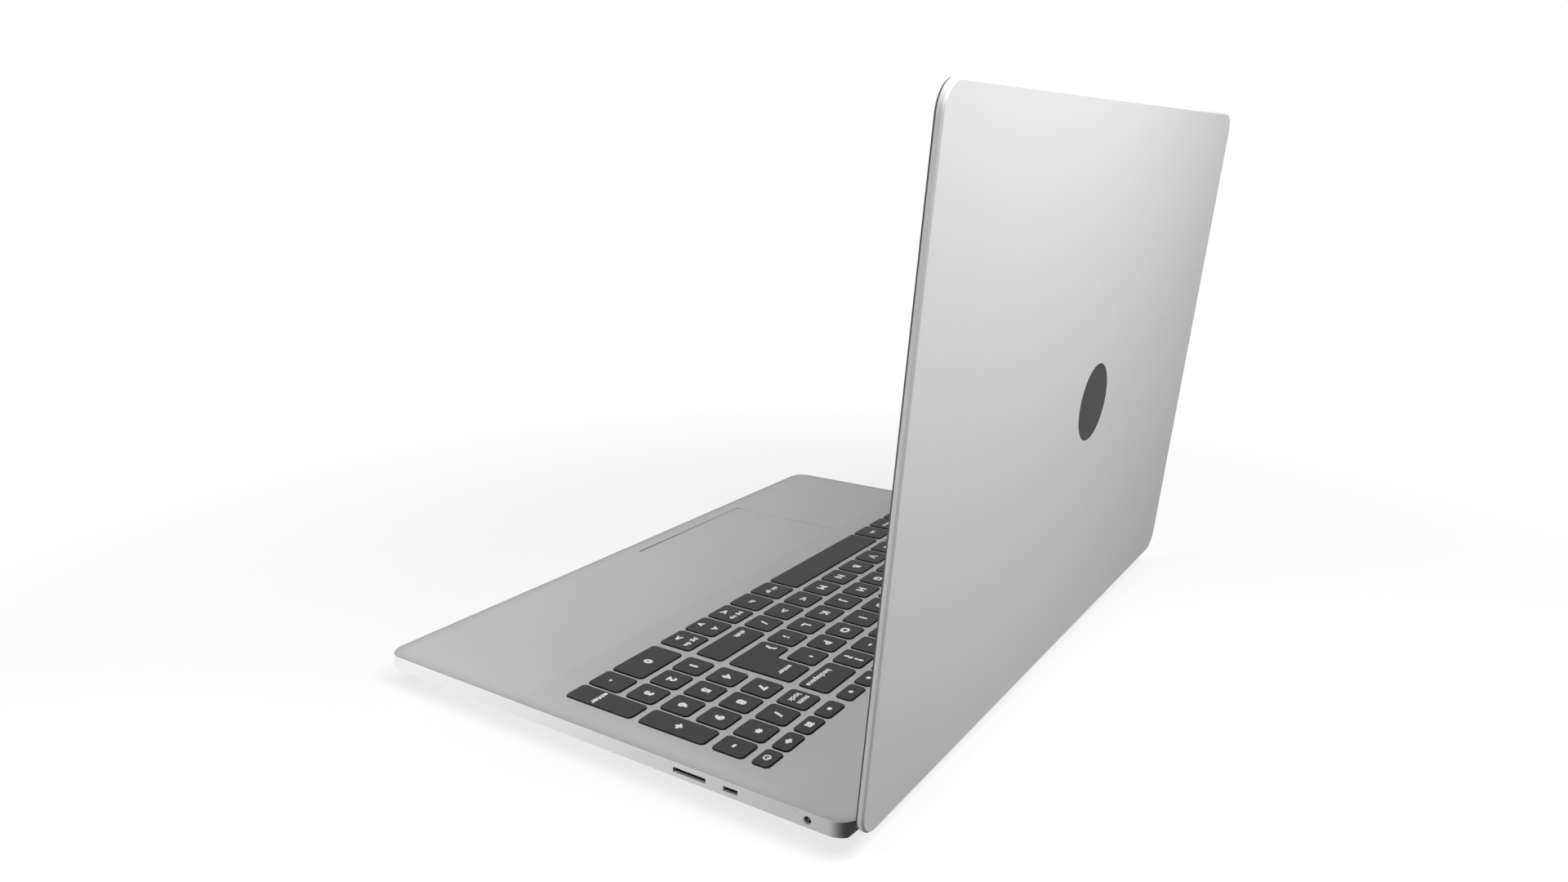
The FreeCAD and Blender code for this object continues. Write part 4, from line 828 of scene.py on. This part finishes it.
# Letters and numbers in the middle of the caps, from the front row to the rear and from left to right.
LETTERS = {
    "lower_letter_keys": "\\ZXCVBNM<>/",
    "home_letter_keys": "ASDFGHJKL;",
    "upper_letter_keys": "QWERTYUIOP'",
    "number_keys": "`1234567890- ",
    "numpad_keys": ".123456789 /*-",
    "numpad_zero_key": "0",
    "numpad_plus_key": "+",
}
# Small words on the row at the rear, whose last five caps have signs instead.
SMALL = {"function_keys": ["esc", *(f"F{number}" for number in range(1, 13)), "ins", "del", *[" "] * 5]}
# Words and signs that stand off the middle of a cap: cap, word, millimetres right and to the rear, size.
PLACED = {
    "number_keys": [(12, "!", 0, 2.9, "letter"), (12, "?", 0, -2.9, "letter")],
    "numpad_keys": [(10, "num", -0.6, 2.4, "word"), (10, "lock", -0.6, -2.4, "word")],
    "numpad_enter_key": [(0, "enter", 0, -4.0, "word")],
    "modifier_keys": [(0, "ctrl", -4, -3, "word"), (1, "fn", 0, 0, "word"), (2, "menu", 0, 0, "word"),
                      (3, "alt", 0, 0, "word"), (4, "alt gr", 0, 0, "word"), (5, "fn", 0, 0, "word")],
    "left_arrow_key": [(0, "<", 0, -4.4, "letter"), (0, "pg up", 0, 4.1, "word")],
    "vertical_arrow_key": [(0, "v", 0, -4.6, "letter"), (0, "^", 0, 3.2, "letter")],
    "right_arrow_key": [(0, ">", 0, -4.4, "letter"), (0, "pg dn", 0, 4.1, "word")],
    "tab_key": [(0, "tab", -16, -3, "word")],
    "caps_lock_key": [(0, "caps lock", -14, -3, "word")],
    "left_shift_key": [(0, "shift", -4, -3, "word")],
    "right_shift_key": [(0, "shift", -11, -2.6, "word")],
    "backspace_key": [(0, "backspace", 2.5, -3.4, "word")],
    "function_keys": [(cap, sign, 0, -0.25, "letter") for cap, sign in
                      ((15, "\u2022"), (16, "\u2022"), (17, "\u2022"), (18, "\u00a4"), (19, "\u00f7"))],
    "power_key": [(0, "\u23fb", 0, -0.4, "word")],
    "enter_key": [(0, "}", -10.2, -9.9, "letter"), (0, "enter", 5.5, 8.8, "word")],
}


class LAPTOP_OT_legends(LaptopOperator, bpy.types.Operator):
    """Prints the letters, numbers and words on the key caps"""
    bl_idname = "laptop.legends"
    bl_label = "Key Legends"

    def execute(self, context):
        keys = context.scene.laptop.keys
        ink = moulded("legend_ink", keys.legend, roughness=0.5, grain=3000.0, depth=0.004 * MM)
        for node in sorted({*LETTERS, *SMALL, *PLACED}):
            bm = bmesh.new()
            for word, x, y, size in self.places(node):
                self.print_word(bm, word, Vector((x, y)), getattr(keys, size), keys)
            raised = bmesh.ops.extrude_face_region(bm, geom=bm.faces[:], use_keep_orig=True)["geom"]
            raised = [part for part in raised if isinstance(part, bmesh.types.BMVert)]
            bmesh.ops.translate(bm, vec=UP * keys.ink, verts=raised)
            bmesh.ops.recalc_face_normals(bm, faces=bm.faces)
            piece(node + "_legends", bm, ink, node)
        return {"FINISHED"}

    def print_word(self, bm, word, place, size, keys):
        """Lays a bold word flat on a cap, sunk in by a quarter of the ink."""
        stroke = keys.stroke * size * size / keys.letter
        outlines = [grown_outline(o, stroke / MM) for o in type_outlines(word, size, keys.wide)]
        points, faces = filled(outlines)
        verts = {}
        for face in faces:
            for i in face:
                if i not in verts:
                    verts[i] = bm.verts.new((*(place + points[i] * MM), CAP_TOP - keys.ink / 4))
            bm.faces.new([verts[i] for i in face])

    def places(self, node):
        """Each word of a node with its place and size."""
        middles = cap_middles(node)
        for size, table in (("letter", LETTERS), ("small", SMALL)):
            words = table.get(node, ())
            if words and len(words) != len(middles):
                raise ValueError(f"{node} has {len(middles)} caps and {len(words)} legends")
            yield from ((word, *middle, size) for word, middle in zip(words, middles) if word.strip())
        for cap, word, right, rear, size in PLACED.get(node, ()):
            yield word, middles[cap][0] + right * MM, middles[cap][1] + rear * MM, size


class LAPTOP_OT_touchpad(LaptopOperator, bpy.types.Operator):
    """Makes the touchpad, wider and lower than in the CAD, with a fine rounded rim"""
    bl_idname = "laptop.touchpad"
    bl_label = "Touchpad"

    def execute(self, context):
        case = context.scene.laptop.case
        low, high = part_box("touchpad")
        middle, half = (low + high) / 2, (high - low) / 2
        bm = welded("touchpad")
        for v in bm.verts:
            v.co.x += (v.co.x - middle.x) / half.x * case.pad_grow
            v.co.y += (v.co.y - middle.y) / half.y * case.pad_grow
            if v.co.z > high.z - NEAR:
                v.co.z -= case.pad_drop
        metal = blasted_metal("silver_pad", case.silver).material
        obj = piece("touchpad_plate", bm, metal, "touchpad")
        rounded_edges(obj, case.pad_round)
        stands_for(obj, "touchpad")
        return {"FINISHED"}


class LAPTOP_OT_lid(LaptopOperator, bpy.types.Operator):
    """Makes the lid shell, its badge, its bumpers and the hinges"""
    bl_idname = "laptop.lid"
    bl_label = "Lid"

    def execute(self, context):
        settings = context.scene.laptop
        lid, case = settings.lid, settings.case
        metal = blasted_metal("silver_lid", case.silver).material
        softened("lid_cover", metal, lid.edge_round, name="lid_shell")
        low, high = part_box("lid_badge")
        softened("lid_badge", turned_disc("badge_disc", lid.badge, (low + high) / 2), lid.badge_round)
        softened("lid_bumpers", moulded("bumper_rubber", case.rubber, roughness=0.75), lid.fine_round)
        steel = drawn_metal("hinge_steel", tint(150, 151, 153), roughness=0.35, along="X")
        for side in ("left", "right"):
            softened("hinge_arm_" + side, steel, lid.fine_round)
            softened("hinge_mount_" + side, steel, lid.fine_round)
        return {"FINISHED"}


class LAPTOP_OT_screen(LaptopOperator, bpy.types.Operator):
    """Finishes the screen, its frame and the camera"""
    bl_idname = "laptop.screen"
    bl_label = "Screen"

    def execute(self, context):
        lid = context.scene.laptop.lid
        plastic = moulded("bezel_plastic", lid.bezel, roughness=0.5)
        softened("lid_bezel", plastic, lid.fine_round, name="bezel_frame")
        paint("display_panel", dark_glass("screen_glass", lid.screen))
        paint("camera_module", dark_glass("camera_glass", tint(10, 10, 14)))
        return {"FINISHED"}


class LAPTOP_OT_underside(LaptopOperator, bpy.types.Operator):
    """Finishes the bottom cover, the feet and the screws"""
    bl_idname = "laptop.underside"
    bl_label = "Underside"

    def execute(self, context):
        case = context.scene.laptop.case
        cover = moulded("cover_paint", case.cover, roughness=0.48, grain=3600.0, depth=0.01 * MM)
        paint("bottom_cover", cover)
        rubber = moulded("foot_rubber", case.rubber, roughness=0.8, grain=1800.0, depth=0.03 * MM)
        for foot in ("foot_rear", "foot_front_left", "foot_front_right"):
            softened(foot, rubber, case.foot_round, segments=3)
        paint("case_screws", drawn_metal("screw_steel", tint(120, 121, 123), roughness=0.38, along="Z"))
        return {"FINISHED"}


class LAPTOP_OT_sockets(LaptopOperator, bpy.types.Operator):
    """Finishes the sockets in the side walls"""
    bl_idname = "laptop.sockets"
    bl_label = "Sockets"

    def execute(self, context):
        dark = moulded("socket_plastic", tint(62, 62, 63), roughness=0.5)
        steel = drawn_metal("socket_steel", tint(150, 150, 152), roughness=0.35, along="X")
        for node in ("card_reader", "power_jack", "audio_jack"):
            paint(node, dark)
        for node in ("usb_port_rear", "usb_port_front", "lock_plate"):
            paint(node, steel)
        return {"FINISHED"}


class LAPTOP_OT_inner_parts(LaptopOperator, bpy.types.Operator):
    """Finishes the parts inside the base"""
    bl_idname = "laptop.inner_parts"
    bl_label = "Inner Parts"

    def execute(self, context):
        board = board_finish("board_lacquer", tint(28, 74, 48))
        black = moulded("inner_plastic", tint(36, 36, 38), roughness=0.55)
        finishes = {
            "keyboard_plate": drawn_metal("plate_steel", tint(96, 97, 99), roughness=0.45, along="X"),
            "touchpad_bracket": drawn_metal("bracket_steel", tint(128, 129, 131), roughness=0.4, along="Y"),
            "battery_pack": moulded("battery_wrap", tint(40, 40, 43), roughness=0.45),
            "mainboard": board, "memory_module": board, "storage_module": board, "wireless_card": board,
            "processor": moulded("chip_resin", tint(70, 71, 74), roughness=0.35),
            "heat_pipe": drawn_metal("pipe_copper", tint(184, 116, 84), roughness=0.32, along="X"),
            "fin_stack": drawn_metal("fin_aluminium", tint(176, 177, 179), roughness=0.34, along="Z"),
            "fan_housing": black, "fan_impeller": black, "speaker_left": black, "speaker_right": black,
        }
        for node, material in finishes.items():
            paint(node, material)
        return {"FINISHED"}


# Disc lamps of the studio: place, target and width in metres.
LAMPS = {
    "side_lamp": ((0.5, -0.2, 0.022), (0.15, -0.05, 0.014), 0.04),
    "right_lamp": ((0.36, -0.05, 0.4), (0.1, -0.02, 0.0), 0.3),
    "top_lamp": ((0.1, 0.07, 0.6), (0.05, 0.0, 0.0), 0.3),
    "back_lamp": ((0.12, 0.5, 0.58), (0.05, 0.05, 0.12), 0.3),
}
FLOOR_REACH = 6.0
# The floor seen by the camera is partly plain white, and wholly so beyond the second distance.
WHITE_NEAR, WHITE_FAR = 0.74, 1.0
FADE_START, FADE_END = 0.24, 0.55
# How much of its light the floor throws back on the machine.
FLOOR_BOUNCE = 0.1
FILM_WIDTH = 36.0


def seen_rays(tree):
    """A value that is 1 where the camera, a reflection or clear glass looks, and 0 for other light."""
    path = tree.nodes.new("ShaderNodeLightPath").outputs
    seen = path["Is Camera Ray"]
    for kind in ("Is Glossy Ray", "Is Transmission Ray"):
        either = tree.nodes.new("ShaderNodeMath")
        either.operation = "MAXIMUM"
        tree.links.new(seen, either.inputs[0])
        tree.links.new(path[kind], either.inputs[1])
        seen = either.outputs[0]
    return seen


class LAPTOP_OT_stage(LaptopOperator, bpy.types.Operator):
    """Sets up the floor, the lamps, the room light and the camera"""
    bl_idname = "laptop.stage"
    bl_label = "Studio"

    def execute(self, context):
        stage = context.scene.laptop.stage
        scene = context.scene
        scene.view_settings.view_transform = "Standard"
        self.floor(stage)
        self.room(scene, stage)
        for name, (place, target, width) in LAMPS.items():
            self.lamp(name, place, target, width, getattr(stage, name))
        self.camera(scene, stage)
        return {"FINISHED"}

    def floor(self, stage):
        bm = bmesh.new()
        bmesh.ops.create_grid(bm, x_segments=1, y_segments=1, size=FLOOR_REACH)
        obj = placed("floor", plain_mesh("floor", bm))
        bounce = scaled(stage.floor, FLOOR_BOUNCE)
        finish = Finish("floor_white", bounce, roughness=0.8, Specular_IOR_Level=0.1)
        self.white_floor(finish, stage)
        obj.data.materials.append(finish.material)

    def white_floor(self, finish, stage):
        """Shows the floor white with the shadow of the machine on it, fading to plain white further out."""
        tree = finish.tree
        seen = seen_rays(tree)
        away = finish.add("ShaderNodeVectorMath", {0: finish.place}, operation="LENGTH").outputs["Value"]
        glow = finish.spread(away, WHITE_NEAR, WHITE_FAR, FADE_START, FADE_END)
        matt = finish.add("ShaderNodeBsdfDiffuse", in_Color=(*stage.floor, 1)).outputs[0]
        white = finish.add("ShaderNodeEmission", in_Strength=1.0).outputs[0]
        shown = finish.add("ShaderNodeMixShader", {0: glow, 1: matt, 2: white}).outputs[0]
        both = finish.add("ShaderNodeMixShader", {0: seen, 1: finish.shader.outputs[0], 2: shown}).outputs[0]
        tree.links.new(both, tree.nodes["Material Output"].inputs["Surface"])

    def room(self, scene, stage):
        """Even light from all round, and plain white where the camera or a reflection sees past the floor."""
        world = bpy.data.worlds.new("studio_room")
        scene.world = world
        world.use_nodes = True
        tree = world.node_tree
        background = tree.nodes["Background"]
        background.inputs["Color"].default_value = (1, 1, 1, 1)
        strength = tree.nodes.new("ShaderNodeMapRange")
        strength.inputs["To Min"].default_value = stage.room
        strength.inputs["To Max"].default_value = 1.0
        tree.links.new(seen_rays(tree), strength.inputs["Value"])
        tree.links.new(strength.outputs["Result"], background.inputs["Strength"])

    def lamp(self, name, place, target, width, watts):
        light = bpy.data.lights.new(name, "AREA")
        light.shape = "DISK"
        light.size = width
        light.energy = watts
        self.point(placed(name, light), place, Vector(target) - Vector(place))

    def camera(self, scene, stage):
        data = bpy.data.cameras.new("camera")
        data.sensor_width = FILM_WIDTH
        data.lens = stage.lens
        data.clip_start = 0.01
        scene.camera = placed("camera", data)
        self.point(scene.camera, stage.eye, Vector(stage.aim))

    def point(self, obj, place, direction):
        """Stands a lamp or the camera at a place and turns it to look in a direction."""
        obj.location = place
        obj.rotation_euler = direction.to_track_quat("-Z", "Y").to_euler()


OPERATORS = (LAPTOP_OT_top_case, LAPTOP_OT_key_caps, LAPTOP_OT_key_domes, LAPTOP_OT_legends,
             LAPTOP_OT_touchpad, LAPTOP_OT_lid, LAPTOP_OT_screen, LAPTOP_OT_underside,
             LAPTOP_OT_sockets, LAPTOP_OT_inner_parts, LAPTOP_OT_stage)


class LAPTOP_PT_sidebar(bpy.types.Panel):
    bl_idname = "LAPTOP_PT_sidebar"
    bl_label = "Laptop"
    bl_space_type = "VIEW_3D"
    bl_region_type = "UI"
    bl_category = "Laptop"

    def draw(self, context):
        settings = context.scene.laptop
        for operator in OPERATORS:
            self.layout.operator(operator.bl_idname)
        for group in (settings.case, settings.keys, settings.lid, settings.stage):
            box = self.layout.box()
            for name in group.bl_rna.properties.keys():
                if name not in ("rna_type", "name"):
                    box.prop(group, name)


CLASSES = (LaptopCaseSettings, LaptopKeySettings, LaptopLidSettings, LaptopStageSettings, LaptopSettings,
           *OPERATORS, LAPTOP_PT_sidebar)


def register():
    for cls in CLASSES:
        bpy.utils.register_class(cls)
    bpy.types.Scene.laptop = PointerProperty(type=LaptopSettings)


def unregister():
    del bpy.types.Scene.laptop
    for cls in reversed(CLASSES):
        bpy.utils.unregister_class(cls)


def main():
    register()
    for operator in OPERATORS:
        group, name = operator.bl_idname.split(".")
        getattr(getattr(bpy.ops, group), name)()


if __name__ == "__main__":
    main()
